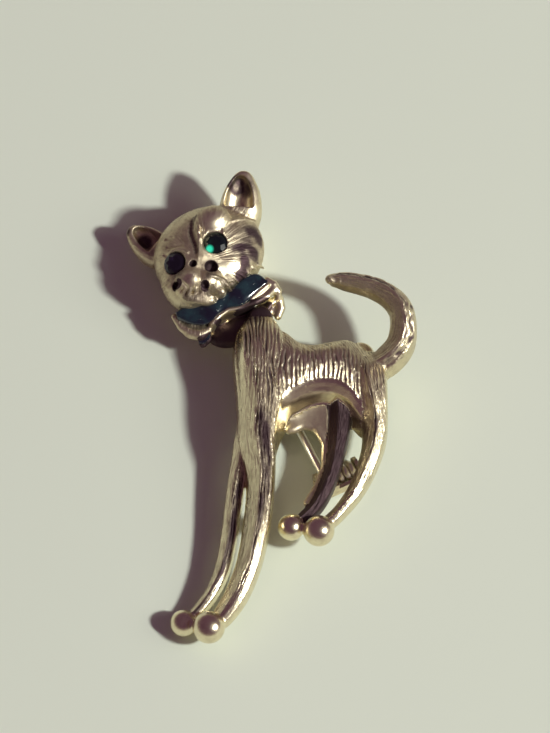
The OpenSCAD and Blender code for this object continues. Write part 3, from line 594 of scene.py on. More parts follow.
def mesh_of(block, name, flat, place=None):
    """A smooth mesh of a block with its three values. Place moves it from the block's axes into the frame.

    Flat is how far the mesher may go in joining faces where the surface hardly bends.
    """
    grid = openvdb.FloatGrid(FAR_OFF)
    grid.copyFromArray(block.field)
    points, triangles, quads = grid.convertToPolygons(isovalue=0.0, adaptivity=flat)
    points = block.low + block.cell * points.astype(float)
    faces = [list(map(int, f)) for f in triangles] + [list(map(int, f)) for f in quads]
    cells = np.clip(np.rint((points - block.low) / block.cell).astype(int), 0, block.count - 1)
    owner = block.owner[tuple(cells.T)]
    values = np.zeros((len(points), 4), np.float32)
    for i, maps in enumerate(block.coats):
        if maps:
            mine = owner == i
            for k, full in enumerate(maps):
                values[mine, k] = sampled(block, full, points[mine])
    mesh = bpy.data.meshes.new(name)
    placed = points if place is None else place(points)
    mesh.from_pydata(placed * MM, [], faces)
    mesh.shade_smooth()
    piece = new_object(name, mesh)
    normals = np.zeros(len(points) * 3, np.float32)
    mesh.vertex_normals.foreach_get("vector", normals)
    up = normals.reshape(-1, 3)[:, 2]
    # the patina of the grooves and the painted shade show where the metal looks up; a value over 1 darkens
    # upright walls too
    patina_and_shade = np.where(values[:, 2] > 1, ramp(-0.35, -0.05, up), values[:, 2] * ramp(0.1, 0.45, up))
    for title, value in (("patina_and_shade", patina_and_shade), ("polish", values[:, 3])):
        mesh.attributes.new(title, "FLOAT", "POINT").data.foreach_set("value", value.astype(np.float32))
    run = np.stack([values[:, 0], values[:, 1], points[:, 2]], 1).astype(np.float32)
    mesh.attributes.new("run", "FLOAT_VECTOR", "POINT").data.foreach_set("vector", run.ravel())
    print(name, "triangles:", sum(len(f) - 2 for f in faces))
    return piece


body_piece = mesh_of(body, "cat_body", flat=0.022)
print("seconds so far:", round(time.time() - START, 1))

# %% [markdown]
# ## Head
# The head is a second casting with an open back, fixed on the body's tongue and leaning to its right
# shoulder. Its block is drawn upright in the head's own axes and the mesh is turned into place. Large soft
# forms come first, then the ears, then what is cut in.


# %% Large forms of the head
def to_frame(points):
    """From the head's own axes into the frame."""
    c, s = math.cos(HEAD_ROLL), math.sin(HEAD_ROLL)
    p = np.array(points, float).reshape(-1, 3)
    x, y = head_at[0] + p[:, 0] * c - p[:, 1] * s, head_at[1] + p[:, 0] * s + p[:, 1] * c
    return np.stack([x, y, p[:, 2]], 1)


EYES = {"right": ([0.038 * HEAD_W, -0.043 * HEAD_H, 0.93 * HEAD_T], math.radians(-4)),
    "left": ([-0.35 * HEAD_W, -0.033 * HEAD_H, 0.85 * HEAD_T], math.radians(-20))}
head = Block([-10.6, -11.8, -0.4], [9.6, 9.4, 11.2], BLOCK_CELL)
SKULL = [  # middle, radii, softness of the joint, turn in plan
    ([0, 0.1, HEAD_T * 0.51], [HEAD_W / 2, HEAD_H / 2, HEAD_T * 0.49], 0.01, 0),
    ([0, 0, 2.0], [HEAD_W * 0.45, HEAD_H * 0.45, 3.2], 1.2, 0),
    ([-2.3, -2.3, 5.8], [4.3, 3.7, 3.0], 1.0, 0),
    ([-5.0, -2.6, 5.3], [1.9, 2.9, 2.4], 0.9, 0),
    ([1.9, -3.2, 6.0], [2.9, 1.9, 2.2], 0.9, 0.5),
    ([-3.9, -3.2, 7.9], [1.45, 1.35, 1.45], 0.45, 0),
    ([-2.2, -4.2, 7.8], [1.55, 1.25, 1.4], 0.45, 0),
    ([-3.5, -5.0, 6.3], [1.9, 0.9, 1.5], 0.6, 0)]
for at, radii, soft, turn in SKULL:
    head.ball(at, radii, soft, turn=turn)
print("cells of the head's block:", head.count)

# %% [markdown]
# ## Ears
# An ear is a pointed leaf that is hollowed like a spoon. The rim on the outer side is thick and polished,
# and the hollow is smooth, so both come from two ovals whose size follows the way up the ear.

# %% Ears
EAR_L = 4.6
EAR_RIM = 0.75
EAR_SHAPE = [  # share of the way up, half the width, half the thickness
    [-0.25, 2.3, 1.9], [0.0, 2.5, 2.0], [0.25, 2.4, 1.7], [0.5, 2.1, 1.35], [0.75, 1.5, 1.0],
    [0.92, 0.9, 0.75], [1.0, 0.25, 0.35]]
EARS = [  # side, base, lean, size
    (1, [0.42 * HEAD_W, 0.26 * HEAD_H, 0.6 * HEAD_T], math.radians(-33), 1.0),
    (-1, [-0.37 * HEAD_W, 0.375 * HEAD_H, 0.28 * HEAD_T], math.radians(27), 0.84)]


def add_ear(side, at, lean, size):
    """An ear with its hollow, at the right for a side of 1 and at the left for -1."""
    reach = EAR_L * size + 3
    w = head.window([at[0] - reach, at[1] - reach, 0], [at[0] + reach, at[1] + reach, 12])
    x, y, z = head.axes(w)
    dx, dy = x - at[0], y - at[1]
    c, s = math.cos(lean), math.sin(lean)
    across, up = (dx * c + dy * s) / size, (dy * c - dx * s) / size
    share = np.clip(up / EAR_L, -0.25, 1)
    rows = smooth_rows(EAR_SHAPE, 60)
    half, thick = np.interp(share, rows[:, 0], rows[:, 1]), np.interp(share, rows[:, 0], rows[:, 2])
    middle = at[2] + (1.8 * share - 0.4 if side > 0 else 0.9 * np.clip(share, 0, 1))
    k = (np.abs(across / half)**2.5 + np.abs((z - middle) / size / thick)**2.5)**0.4
    outer = (k - 1) * np.minimum(half, thick)
    outer = soft_max(outer, np.maximum(up - EAR_L, -1.4 - up), 0.3) * size
    in_half, in_thick = np.clip(half - EAR_RIM, 0.05, 9), thick * 0.95
    hollow = np.sqrt(((across + side * 0.3) / in_half)**2 + ((z - middle - thick * 0.85) / in_thick)**2)
    hollow = (hollow - 1) * np.minimum(in_half, in_thick)
    hollow = soft_max(hollow, np.maximum(up - EAR_L + EAR_RIM, 0.1 - up), 0.5) * size
    head.add(w, outer.astype(np.float32), 0.3)
    head.cut(w, hollow.astype(np.float32), 0.16)


for ear in EARS:
    add_ear(*ear)
print("lengths of the ears in mm:", [round(EAR_L * size, 2) for *_, size in EARS])

# %% [markdown]
# ## Face
# The features are laid on the surface: for each place in plan the block tells how high the metal stands
# there, and a thin rod is added or cut along that line. Eyes sit in round seats. The brow over the right
# eye is the tallest form.


# %% Tools for the face
def top(block, x, y):
    """Height of the highest surface of a block over a place."""
    i, j = [int(round((v - low) / block.cell)) for v, low in zip((x, y), block.low)]
    column = block.field[i, j]
    inside = np.nonzero(column < 0)[0]
    if not len(inside):
        return 5.0
    k = min(inside[-1], len(column) - 2)
    return float(block.low[2] + block.cell * (k + column[k] / (column[k] - column[k + 1])))


def trace(block, points, radii, lift, r, cut=False):
    """A rod that follows the surface of a block along places in plan."""
    radii = np.array(radii, float) * np.ones(len(points))
    rows = smooth_rows(np.column_stack([points, radii]), 4 * (len(points) - 1))
    line = [[x, y, top(block, x, y) + lift] for x, y, _ in rows]
    block.rod(line, rows[:, 2], r, cut)


print("height of the skull over its middle in mm:", round(top(head, 0, 0), 2))

# %% Brows, lids and temple
CUT = True
BROWS = [  # places in plan, radii, lift over the surface, softness, and CUT for a groove
    # the bridge of the nose, the valley at its left and the fold at its right
    ([(0.1, 2.9), (-0.75, 1.4), (-1.45, -0.1), (-2.0, -1.4)], [0.3, 0.36, 0.36, 0.3], -0.08, 0.25),
    ([(-0.5, 3.3), (-1.35, 2.2), (-1.65, 1.2), (-1.75, 0.3), (-2.3, -1.0)],
        [0.2, 0.36, 0.42, 0.36, 0.15], 0.14, 0.2, CUT),
    ([(1.2, 3.0), (0.1, 2.4), (-0.5, 1.35), (-0.9, 0.1)], [0.14, 0.22, 0.22, 0.14], 0.05, 0.1, CUT),
    # the line from the right eye to the temple, and the left eye's brow
    ([(1.9, 0.1), (2.3, 0.95), (3.2, 1.28), (5.0, 1.25), (6.4, 0.95)],
        [0.12, 0.2, 0.22, 0.2, 0.15], -0.02, 0.12),
    ([(-4.9, 1.0), (-4.0, 1.05), (-3.3, 0.6), (-2.9, -0.1)], [0.2, 0.3, 0.34, 0.25], -0.05, 0.15),
    # short strokes over the left eye
    ([(-4.5, 2.0), (-3.7, 1.5), (-3.0, 1.15)], 0.17, 0.03, 0.08, CUT),
    ([(-4.2, 3.1), (-3.5, 2.8)], 0.17, 0.03, 0.08, CUT),
    ([(-5.2, 1.4), (-4.9, 0.9)], 0.17, 0.03, 0.08, CUT)]
for line in BROWS:
    trace(head, *line)
for k in range(6):
    rise = 0.3 * k
    arc = [(0.3, 2.5 + rise), (1.6, 2.95 + rise), (3.3, 2.65 + rise), (4.9, 1.9 + rise), (6.0, 1.4 + 0.2 * k)]
    trace(head, arc, [0.07, 0.14, 0.15, 0.13, 0.06], 0.06, 0.08, CUT)
print("lines on the brow:", len(BROWS) + 6)

# %% Eyes' seats
seats = {}
for side, (at, lean) in EYES.items():
    at, tilt = np.array(at), Matrix.Rotation(lean, 3, "Y")
    axis = np.array(tilt @ Vector((0, 0, 1)))
    seats[side] = (at, tilt)
    # a funnel over the stone, then the round seat
    head.rod([at + 0.9 * axis, at + 3.5 * axis], [1.42, 2.4], 0.2, cut=True)
    head.rod([at - 0.1 * axis, at + 1.0 * axis], [1.36, 1.36], 0.06, cut=True)
# the brow hangs a little over the right stone
head.ball([1.5, 2.35, 7.9], [2.3, 1.95, 1.7], 0.25, turn=-0.05)
trace(head, [(-0.35, 2.2), (-0.75, 1.2), (-0.95, 0.2)], [0.2, 0.3, 0.2], 0.0, 0.12)
print("seats at", {side: [round(float(v), 2) for v in at] for side, (at, _) in seats.items()})

# %% Nose, cheeks, muzzle and chin
# the nose and the ridge below it
head.ball([-2.35, -1.85, 8.25], [0.8, 0.62, 0.6], 0.25)
head.ball([-2.15, -2.5, 8.3], [0.32, 0.7, 0.5], 0.2)
# the muzzle's right side, the right cheek and the line below them
head.ball([-1.35, -3.0, 7.9], [1.05, 0.95, 0.95], 0.2)
head.ball([0.3, -3.0, 7.15], [2.1, 1.2, 1.38], 0.35, turn=-0.25)
trace(head, [(-2.2, -3.5), (-1.9, -4.2), (-0.9, -4.8), (0.5, -5.2)], [0.12, 0.2, 0.22, 0.12], -0.02, 0.12)
# the left cheek, the chin and the jaw
head.ball([-4.45, -2.9, 7.8], [1.3, 1.3, 1.3], 0.15)
head.ball([-1.75, -4.7, 7.3], [1.4, 1.25, 1.3], 0.15)
JAW = [(-5.7, -3.6), (-5.0, -4.75), (-3.6, -5.7), (-2.2, -5.95), (-0.7, -5.7)]
trace(head, JAW, [0.4, 0.6, 0.65, 0.6, 0.35], -0.36, 0.3)
print("top of the nose above the table in mm:", round(top(head, -2.35, -1.85), 2))

# %% Small hollows and the mouth
HOLES = [(-3.0, -1.72, 0.4), (-1.28, -3.0, 0.7), (-5.75, -3.0, 0.5), (-3.0, -4.75, 0.45)]
for x, y, radius in HOLES:
    head.ball([x, y, top(head, x, y) - 0.1], [radius, radius, radius * 1.4], 0.1, cut=True)
trace(head, [(-2.5, -2.6), (-2.75, -3.3), (-3.2, -4.0), (-3.9, -4.7)], 0.13, 0.04, 0.08, CUT)
trace(head, [(-5.2, -3.3), (-4.7, -4.5), (-3.6, -5.1), (-2.8, -5.3)], 0.15, 0.05, 0.1, CUT)
print("seconds so far:", round(time.time() - START, 1))

# %% [markdown]
# ## Fur of the head and the hollow behind it
# Short strands run away from the nose. They are finest on the forehead and deepest on the cheeks, and they
# end in tufts over the bow. Behind, the head is cored out and ends in a flat rim above the table.

# %% Tufts
TUFTS = [  # places as shares of the head's width and height
    (-0.53, -0.15), (-0.52, -0.21), (-0.50, -0.27), (-0.47, -0.32), (-0.43, -0.37), (-0.39, -0.41),
    (-0.34, -0.44), (-0.28, -0.47), (-0.22, -0.49), (-0.15, -0.50), (-0.09, -0.50), (-0.03, -0.49),
    (0.03, -0.48), (0.09, -0.47), (0.15, -0.45), (0.21, -0.43), (0.27, -0.40), (0.33, -0.37)]
nose = np.array([-2.2, -2.0])
for i, (u, v) in enumerate(TUFTS):
    at = np.array([u * HEAD_W, v * HEAD_H])
    way = (at - nose) / np.linalg.norm(at - nose)
    a, b = at - (0.8 if u < 0 else 0.3) * way, at + (0.15 + 0.2 * (i % 3)) * way
    z = top(head, *a)
    head.rod([[*a, z - 0.25], [*((a + b) / 2), z - 0.75], [*b, z - 1.45]], [0.26, 0.24, 0.07], 0.12)
print("tufts:", len(TUFTS))

# %% Maps over the head's plan
whole = head.window(BELOW, ABOVE)
x2, y2 = head.x[:, :, 0], head.y[:, :, 0]
out = np.hypot(x2 - nose[0], y2 - nose[1])
angle = np.arctan2(y2 - nose[1], x2 - nose[0])
from_middle = (x2 / (HEAD_W / 2))**2 + (y2 / (HEAD_H / 2))**2
on_skull = 1 - ramp(0.92, 1.06, from_middle)
in_fur = 1 - ramp(1.02, 1.18, from_middle)


def near(px, py, radius, core=0.6):
    """One near a place in plan, falling to zero at a radius from it."""
    return 1 - ramp(core * radius, radius, np.hypot(x2 - px, y2 - py))


def along(points, radius):
    """One near a bent line in plan, falling to zero at a radius from it."""
    spots = smooth_rows(points, 12)
    return 1 - ramp(0.4 * radius, radius, np.min([np.hypot(x2 - px, y2 - py) for px, py in spots], axis=0))


print("share of the plan that is skull:", round(float((from_middle < 1).mean()), 2))

# %% Fur and bare places
below_nose = ramp(-1.5, -3.0, y2) * (1 - ramp(3.5, 4.1, out))
fur = strands(5 * angle, out, 0.4, 1.6, 31) * ramp(2.8, 3.6, out) * (1 - below_nose)
smooth = np.clip(near(1.4, 1.5, 1.7, 0.4) + along([(-0.8, -3.3), (0.3, -3.75), (1.4, -4.2)], 0.95)
    + near(-4.3, -3.5, 1.0, 0.4) + near(-1.6, -5.2, 1.1, 0.4), 0, 1)
low_face = ramp(1.0, -2.0, y2)
fur = fur * (0.3 + 0.3 * low_face) * (1 - smooth) * in_fur * (1 - 0.8 * near(5.3, 2.6, 2.6, 0.3))

# %% Darker places and painted shade
cloud = 0.55 + 0.8 * noise(x2 / 0.7 + 9, y2 / 0.7 + 9, 41)
# painted shade under the bow
under = ramp(-8.7, -9.2, y2) * ramp(1.8, 0.8, x2) + ramp(-8.0, -8.4, y2) * near(-1.2, -9.0, 3.2)
BRIDGE = [(-0.1, 3.6), (-0.6, 3.2), (-1.35, 2.2), (-1.65, 1.2), (-1.75, 0.3), (-2.0, -0.6)]
STAINS_AND_SHADE = [  # cloudy or even, and the darker places that add up, painted shade among them: strength and where
    # the small hollows, and painted shade under the bow
    (False, [(1.4, np.clip(sum(near(px, py, 1.4 * radius) for px, py, radius in HOLES), 0, 1))]),
    (False, [(1.4, np.clip(under, 0, 1))]),
    # the hollows of the ears
    (False, [(0.95, near(-5.6, 5.6, 1.7, 0.2)), (0.9, near(-7.4, 7.7, 1.5, 0.3)),
        (0.75, near(7.4, 4.8, 1.7, 0.2))]),
    # painted shade over the right cheek, and the left side of the face darker
    (True, [(0.85, near(5.0, -1.0, 3.3, 0.1)), (0.6, along([(0.8, -2.2), (2.4, -2.4), (4.0, -3.4)], 1.3))]),
    (True, [(0.5, near(-5.6, 3.2, 1.5, 0.2)), (0.5, near(-5.0, -1.8, 1.6, 0.2))]),
    # mouth, chin and the valley beside the bridge of the nose, and painted shade in the fold of the bow
    (False, [(0.62, along([(-2.1, -4.0), (-0.9, -4.9), (0.5, -5.3), (2.2, -5.2)], 0.75))]),
    (False, [(0.6, along([(-5.2, -4.8), (-3.8, -5.5), (-2.2, -5.9), (-0.6, -5.8)], 1.2))]),
    (False, [(1.3, along([(1.5, -8.5), (3.1, -9.0)], 0.8))]),
    (False, [(0.66, along(BRIDGE, 0.55))]),
    # painted shade below the right cheek and over more of the right ear's hollow
    (True, [(0.75, along([(2.7, -3.7), (2.3, -4.7), (1.6, -5.3)], 1.0)),
        (0.6, along([(0.0, -4.75), (0.9, -4.95), (1.8, -4.9)], 0.75)), (1.0, near(6.5, 5.9, 1.6, 0.4))])]
stains_and_shade = 0
for cloudy, parts in STAINS_AND_SHADE:
    dark = sum(strength * where for strength, where in parts)
    stains_and_shade = np.maximum(stains_and_shade, cloud * dark if cloudy else dark)
print("groups of stains on the head:", len(STAINS_AND_SHADE))

# %% Polish, and the depth of the fur
hollow_ear = near(6.9, 5.0, 1.7, 0.5)
raised = (1 - 0.75 * hollow_ear) * (1 - on_skull) * (ramp(0.0, 2.0, y2) + ramp(-3.0, -5.0, y2))
polish = np.clip(smooth + raised * ramp(-4.0, -2.0, x2), 0, 1)
head_coat = add_coat(head, whole, angle * 6.0, out, np.maximum(fur, stains_and_shade), polish)
head.owner[:] = head_coat
ears_only = (1 - on_skull) * ramp(0.0, 2.0, y2)
right_side = ramp(0.5, 3.0, x2)
# the fur is 0.14 mm deep at the left and 0.05 mm at the right
head.field += ((0.14 - 0.09 * right_side) * fur * (1 - ears_only))[:, :, None].astype(np.float32)
print("strongest stain:", round(float(stains_and_shade.max()), 2))

# %% [markdown]
# ## Bow
# The ribbon is gold under a pool of dark enamel. Its loop, its lip and its knot are bare metal.

# %% Gold of the bow: the band and its rims
BED = [(-5.8, -5.9, 4.2), (-3.6, -6.9, 4.6), (0.0, -7.0, 5.0), (3.4, -6.4, 5.1)]
head.rod(BED, [1.0, 1.15, 1.2, 1.0], 0.2)
LEFT_RIM = [(-7.2, -5.1, 4.6), (-7.0, -6.7, 4.6), (-6.35, -7.9, 4.7), (-5.6, -8.6, 4.8), (-4.6, -8.6, 4.9)]
head.rod(LEFT_RIM, [0.35, 0.5, 0.62, 0.72, 0.5], 0.12)
LOWER_RIM = [(-3.8, -8.3, 0), (-2.8, -7.9, 0.1), (-1.5, -7.7, 0.25), (-0.2, -8.1, 0.25), (1.2, -8.3, 0.1)]
for k in range(7):
    # the rim itself, and a wall of thicker rods below it
    z, dy = 5.75 - 0.4 * k, 0.06 * k
    rod = [(x, y + dy, z + lift) for x, y, lift in LOWER_RIM]
    head.rod(rod, 0.24 if k == 0 else 0.42, 0.12 if k == 0 else 0.35)

# %% Gold of the bow: loop, knot and ribbon end
FOLDS = [  # points, radii, softness: two folds of the loop
    ([(0.2, -8.1, 6.0), (1.8, -8.3, 6.1), (3.4, -8.2, 6.0), (4.6, -7.7, 5.7)], [0.25, 0.4, 0.42, 0.35], 0.1),
    ([(1.5, -7.8, 6.3), (2.8, -7.45, 6.35), (4.0, -7.05, 6.2)], [0.2, 0.34, 0.28], 0.1)]
KNOT = [  # the knot, the end that curls back below it with its fold, and the bed of the hanging end
    ([(4.3, -6.4, 5.9), (4.7, -7.15, 5.7), (4.8, -8.0, 5.4), (4.6, -8.6, 5.0)], [0.4, 0.55, 0.55, 0.4], 0.2),
    ([(3.5, -8.6, 4.6), (4.7, -8.6, 4.6), (4.4, -9.6, 4.3), (3.7, -10.3, 4.0)], [0.5, 0.55, 0.55, 0.45], 0.2),
    ([(2.3, -9.5, 4.8), (3.8, -8.8, 4.9)], [0.2, 0.26], 0.1),
    ([(-5.0, -8.2, 4.3), (-5.1, -9.0, 4.0), (-5.6, -9.4, 3.8)], [0.95, 0.75, 0.45], 0.15)]
for fold in FOLDS:
    head.rod(*fold)
head.ball([3.1, -7.7, 5.6], [1.8, 0.85, 0.7], 0.2, turn=0.2)
for part in KNOT:
    head.rod(*part)
# webs inside the curl and the left rim, and the low metal under the bow, which blocks light and takes painted
# shade
head.ball([3.9, -9.2, 4.1], [1.0, 1.0, 0.45], 0.2)
head.ball([-5.6, -7.5, 4.6], [1.6, 1.4, 0.45], 0.2)
head.ball([-2.1, -9.3, 2.9], [2.6, 1.7, 1.3], 0.4, turn=-0.3)
head.rod([(-0.8, -8.9, 3.2), (0.8, -9.3, 3.4), (2.6, -8.9, 3.7)], [1.1, 1.2, 1.1], 0.4)
print("top of the knot above the table in mm:", round(top(head, 4.5, -7.3), 2))

# %% Hollow and rim
head.ball([0, 0.2, 2.4], [4.6, 3.9, 3.7], 0.3, cut=True)
head.field[:] = soft_max(head.field, 0.04 - head.z, 0.12)
head_piece = mesh_of(head, "cat_head", flat=0.008, place=to_frame)
print("seconds so far:", round(time.time() - START, 1))

# %% [markdown]
# ## Enamel
# Enamel is poured, so its surface is a smooth skin that sags between its metal rims. It is drawn as a grid
# between the ribbon's upper and lower edge with soft pleats, and closed behind.

# %% Enamel skins
BAND_HIGH = [(-6.9, -4.9, 5.3), (-5.7, -4.85, 5.7), (-4.0, -5.4, 6.1), (-2.3, -5.9, 6.4), (-0.3, -5.8, 6.6),
    (1.2, -5.3, 6.7), (2.6, -5.0, 6.6), (3.7, -5.5, 6.4), (4.2, -6.5, 6.1)]
BAND_LOW = [(-7.1, -5.8, 5.1), (-6.2, -6.9, 5.3), (-5.0, -7.8, 5.6), (-3.8, -8.1, 5.8), (-2.8, -7.75, 6.1),
    (-1.4, -7.6, 6.3), (0.4, -8.0, 6.3), (2.4, -7.4, 6.4), (4.1, -6.9, 6.2)]
END_HIGH = [(-5.5, -7.7, 4.9), (-4.7, -8.1, 5.0), (-4.0, -8.5, 5.1)]
END_LOW = [(-6.1, -9.3, 4.5), (-5.6, -9.6, 4.5), (-4.9, -9.5, 4.6)]
ENAMEL_T = 0.6


def skin(name, high, low, dome, pleat, steps, rows=18):
    """A closed skin between two edges that are given as rows of points in the head's axes."""
    high, low = smooth_rows(high, steps), smooth_rows(low, steps)
    points = []
    for back in (False, True):
        for i in range(steps + 1):
            for j in range(rows + 1):
                t = j / rows
                p = low[i] * (1 - t) + high[i] * t
                wave = pleat * math.sin(6.0 * i / steps * math.pi + 1.5 * t)
                swell = dome * (1 - (2 * t - 1)**4) + wave * math.sin(math.pi * t)
                points.append([p[0], p[1], p[2] - ENAMEL_T if back else p[2] + swell])
    row = rows + 1
    count = (steps + 1) * row
    faces = []
    for i in range(steps):
        for j in range(rows):
            a = i * row + j
            faces.append([a, a + row, a + row + 1, a + 1])
            faces.append([count + a, count + a + 1, count + a + row + 1, count + a + row])
    edge = [i * row for i in range(steps + 1)] + [steps * row + j for j in range(1, rows + 1)]
    edge += [i * row + rows for i in range(steps - 1, -1, -1)] + list(range(rows - 1, 0, -1))
    for a, b in zip(edge, edge[1:] + edge[:1]):
        faces.append([b, a, count + a, count + b])
    shape = bmesh.new()
    corners = [shape.verts.new(p) for p in to_frame(points) * MM]
    for face in faces:
        shape.faces.new([corners[i] for i in face])
    return finished(name, shape, smooth=True)


collar_piece = skin("bow_enamel", BAND_HIGH, BAND_LOW, 0.3, 0.12, steps=72)
end_piece = skin("ribbon_enamel", END_HIGH, END_LOW, 0.12, 0.0, steps=24)
print("enamel box in mm:", np.array([v.co for v in collar_piece.data.vertices]).min(0).round(4) * 1000)

# %% [markdown]
# ## Stones
# Each eye is a round cut stone: a flat table, a crown of kites and triangles, a thin girdle and a pointed
# pavilion. The faces stay flat, because a stone shows its cut by its flat faces.


# %% Cut stones
FACET_TURN = 0.03
RINGS = [  # corners, share of the radius, height, share of a corner's turn
    (8, 0.56, 0.5, 0.5), (8, 0.80, 0.34, 0.0), (16, 1.0, 0.12, 0.25), (16, 1.0, 0.0, 0.25),
    (8, 0.55, -0.5, 0.0)]


def stone(name, side):
    """A round brilliant with eightfold symmetry, set in its seat."""
    at, tilt = seats[side]
    places = [(0, 0, -1.1)]
    for count, radius, height, turn in RINGS:
        for k in range(count):
            a = 2 * math.pi * ((k + turn) / count + FACET_TURN)
            reach = 0.97 * STONE_R * radius
            places.append((reach * math.cos(a), reach * math.sin(a), height))
    shape = bmesh.new()
    for p in places:
        shape.verts.new(to_frame(np.array(tilt @ Vector(p)) + at)[0] * MM)
    bmesh.ops.convex_hull(shape, input=list(shape.verts))
    sides = {"verts": list(shape.verts), "edges": list(shape.edges)}
    bmesh.ops.dissolve_limit(shape, angle_limit=math.radians(1.5), **sides)
    piece = finished(name, shape)
    print(name, "faces:", len(piece.data.polygons))
    return piece


right_stone = stone("right_stone", "right")
left_stone = stone("left_stone", "left")

# %% [markdown]
# ## Pin, catch and stud
# The pin is one wire: a coil round the rivet, a straight stem and a point. Its place comes from the frame's
# joint, so that it turns about the real rivet. The catch hook and the stud belong to the casting.

# %% Hinge axes
joint = frame["joints"][0]
hinge_at = np.array(joint["pos_m"]) / MM
hinge_x = -np.array(joint["axis"]) / np.linalg.norm(joint["axis"])
hinge_y = np.array([-hinge_x[1], hinge_x[0], 0])
WIRE_R = 0.45
TURN_R = 0.87
TURN_PITCH = 0.846
TURNS = 4.3
STEM_L = 18.8
POINT_L = 3.0
STEM_Z = 0.8


def to_hinge(points):
    """From the hinge's axes, with the pivot at the origin, into the frame."""
    p = np.array(points, float).reshape(-1, 3)
    return hinge_at + p[:, :1] * hinge_x + p[:, 1:2] * hinge_y + p[:, 2:] * np.array([0, 0, 1])


print("hinge at", hinge_at.round(2))


# %% Tubes
def walls(shape, rings):
    """Faces between rings of corners that follow each other."""
    for a, b in zip(rings[:-1], rings[1:]):
        for k in range(len(a)):
            k2 = (k + 1) % len(a)
            shape.faces.new((a[k], a[k2], b[k2], b[k]))


def tube(name, points, radii, sides=20):
    """A round tube along points, closed at both ends, with its rings carried along without twist."""
    points = np.array(points, float)
    ways = np.gradient(points, axis=0)
    ways /= np.linalg.norm(ways, axis=1)[:, None]
    side = np.cross(ways[0], [0.3, 0.2, 1.0])
    shape = bmesh.new()
    rings = []
    for p, way, r in zip(points, ways, radii):
        side = side - way * (side @ way)
        side /= np.linalg.norm(side)
        other = np.cross(way, side)
        ring = []
        for k in range(sides):
            a = 2 * math.pi * k / sides
            ring.append(shape.verts.new((p + r * (math.cos(a) * side + math.sin(a) * other)) * MM))
        rings.append(ring)
    walls(shape, rings)
    shape.faces.new(rings[0][::-1])
    shape.faces.new(rings[-1])
    return finished(name, shape, smooth=True)


print("turns of the coil:", TURNS)


# %% Boxes and turned forms
def blocks(name, boxes, bevel):
    """Bevelled boxes in the hinge's axes, given by two corners each."""
    shape = bmesh.new()
    for low, high in boxes:
        low, high = np.array(low, float), np.array(high, float)
        made = bmesh.ops.create_cube(shape, size=1.0)["verts"]
        for v in made:
            v.co = Vector(to_hinge(low + (np.array(v.co) + 0.5) * (high - low))[0] * MM)
    bmesh.ops.bevel(shape, geom=list(shape.edges), offset=bevel * MM, segments=2, affect="EDGES", profile=0.6)
    return finished(name, shape)


def lathe(name, at, profile, sides=40):
    """A round form about an upright axis from pairs of radius and height in millimetres."""
    shape = bmesh.new()
    rings = []
    for radius, height in profile:
        ring = []
        for k in range(sides):
            a = 2 * math.pi * k / sides
            x, y = at[0] + radius * math.cos(a), at[1] + radius * math.sin(a)
            ring.append(shape.verts.new((x * MM, y * MM, height * MM)))
        rings.append(ring)
    walls(shape, rings)
    shape.faces.new(rings[0])
    shape.faces.new(rings[-1])
    return finished(name, shape, smooth=True)


print("length of the stem in mm:", STEM_L)

# %% Pin
PER_TURN = 40
TIP_STEPS = 13
coil = []
for k in range(int(TURNS * PER_TURN), 0, -1):
    a = 2 * math.pi * k / PER_TURN
    coil.append([TURN_PITCH * k / PER_TURN, -TURN_R * math.sin(a), TURN_R * math.cos(a)])
stem = [[0, y, STEM_Z + (TURN_R - STEM_Z) * math.exp(-y)] for y in np.linspace(0, STEM_L - POINT_L, 40)]
point = [[0, y, STEM_Z] for y in np.linspace(STEM_L - POINT_L, STEM_L, TIP_STEPS + 1)[1:]]
taper = [WIRE_R * math.sqrt(max(1 - (k / TIP_STEPS)**1.6, 0.03)) for k in range(1, TIP_STEPS + 1)]
wire = to_hinge(coil + stem + point)
pin_piece = tube("pin", wire, [WIRE_R * 0.93] * len(coil) + [WIRE_R] * len(stem) + taper)
print("pin points along the wire:", len(wire))

# %% Catch and stud
CATCH_AT = 15.4
CATCH_T = 0.6
ARM = WIRE_R + 0.12
ROOF = STEM_Z + WIRE_R + 0.12


def arm(side, half, low, high):
    """The corners of one part of the catch's arm beside the wire."""
    x = side * (ARM + CATCH_T / 2)
    return [x - CATCH_T / 2, CATCH_AT - half, low], [x + CATCH_T / 2, CATCH_AT + half, high]


hook_boxes = [arm(s, 1, STEM_Z - WIRE_R, ROOF + 0.2) for s in (-1, 1)]
hook_boxes += [arm(s, 0.5, STEM_Z - 2 * WIRE_R, STEM_Z) for s in (-1, 1)]
hook_boxes.append(([-ARM - CATCH_T, CATCH_AT - 1, ROOF], [ARM + CATCH_T, CATCH_AT + 1, ROOF + 3.6]))
hook_piece = blocks("catch_hook", hook_boxes, 0.12)
stud_at = haunch + REAR_LEG * np.array([-0.118, -0.515]) + corner
STUD = [(0.6, 2.33), (0.8, 2.38), (0.85, 2.5), (0.8, 2.64), (0.5, 2.68), (0.5, 4.3)]
stud_piece = lathe("hinge_stud", stud_at, STUD)
print("stud at", stud_at.round(2))

# %% [markdown]
# ## Shared shader groups
# Each group makes colours and values that any material of the scene may use with its own settings. Gloss,
# coat and metalness stay with the materials.


# %% Group maker
def new_group(name, inputs, outputs):
    """A shader group with named sockets: name, kind and, for inputs, the starting value.

    Returns the group, what it is given and what it gives.
    """
    group = bpy.data.node_groups.new(name, "ShaderNodeTree")
    for title, kind, start in inputs:
        made = group.interface.new_socket(name=title, in_out="INPUT", socket_type="NodeSocket" + kind)
        made.default_value = start
    for title, kind in outputs:
        group.interface.new_socket(name=title, in_out="OUTPUT", socket_type="NodeSocket" + kind)
    source, sink = group.nodes.new("NodeGroupInput"), group.nodes.new("NodeGroupOutput")
    return group, source.outputs, sink.inputs


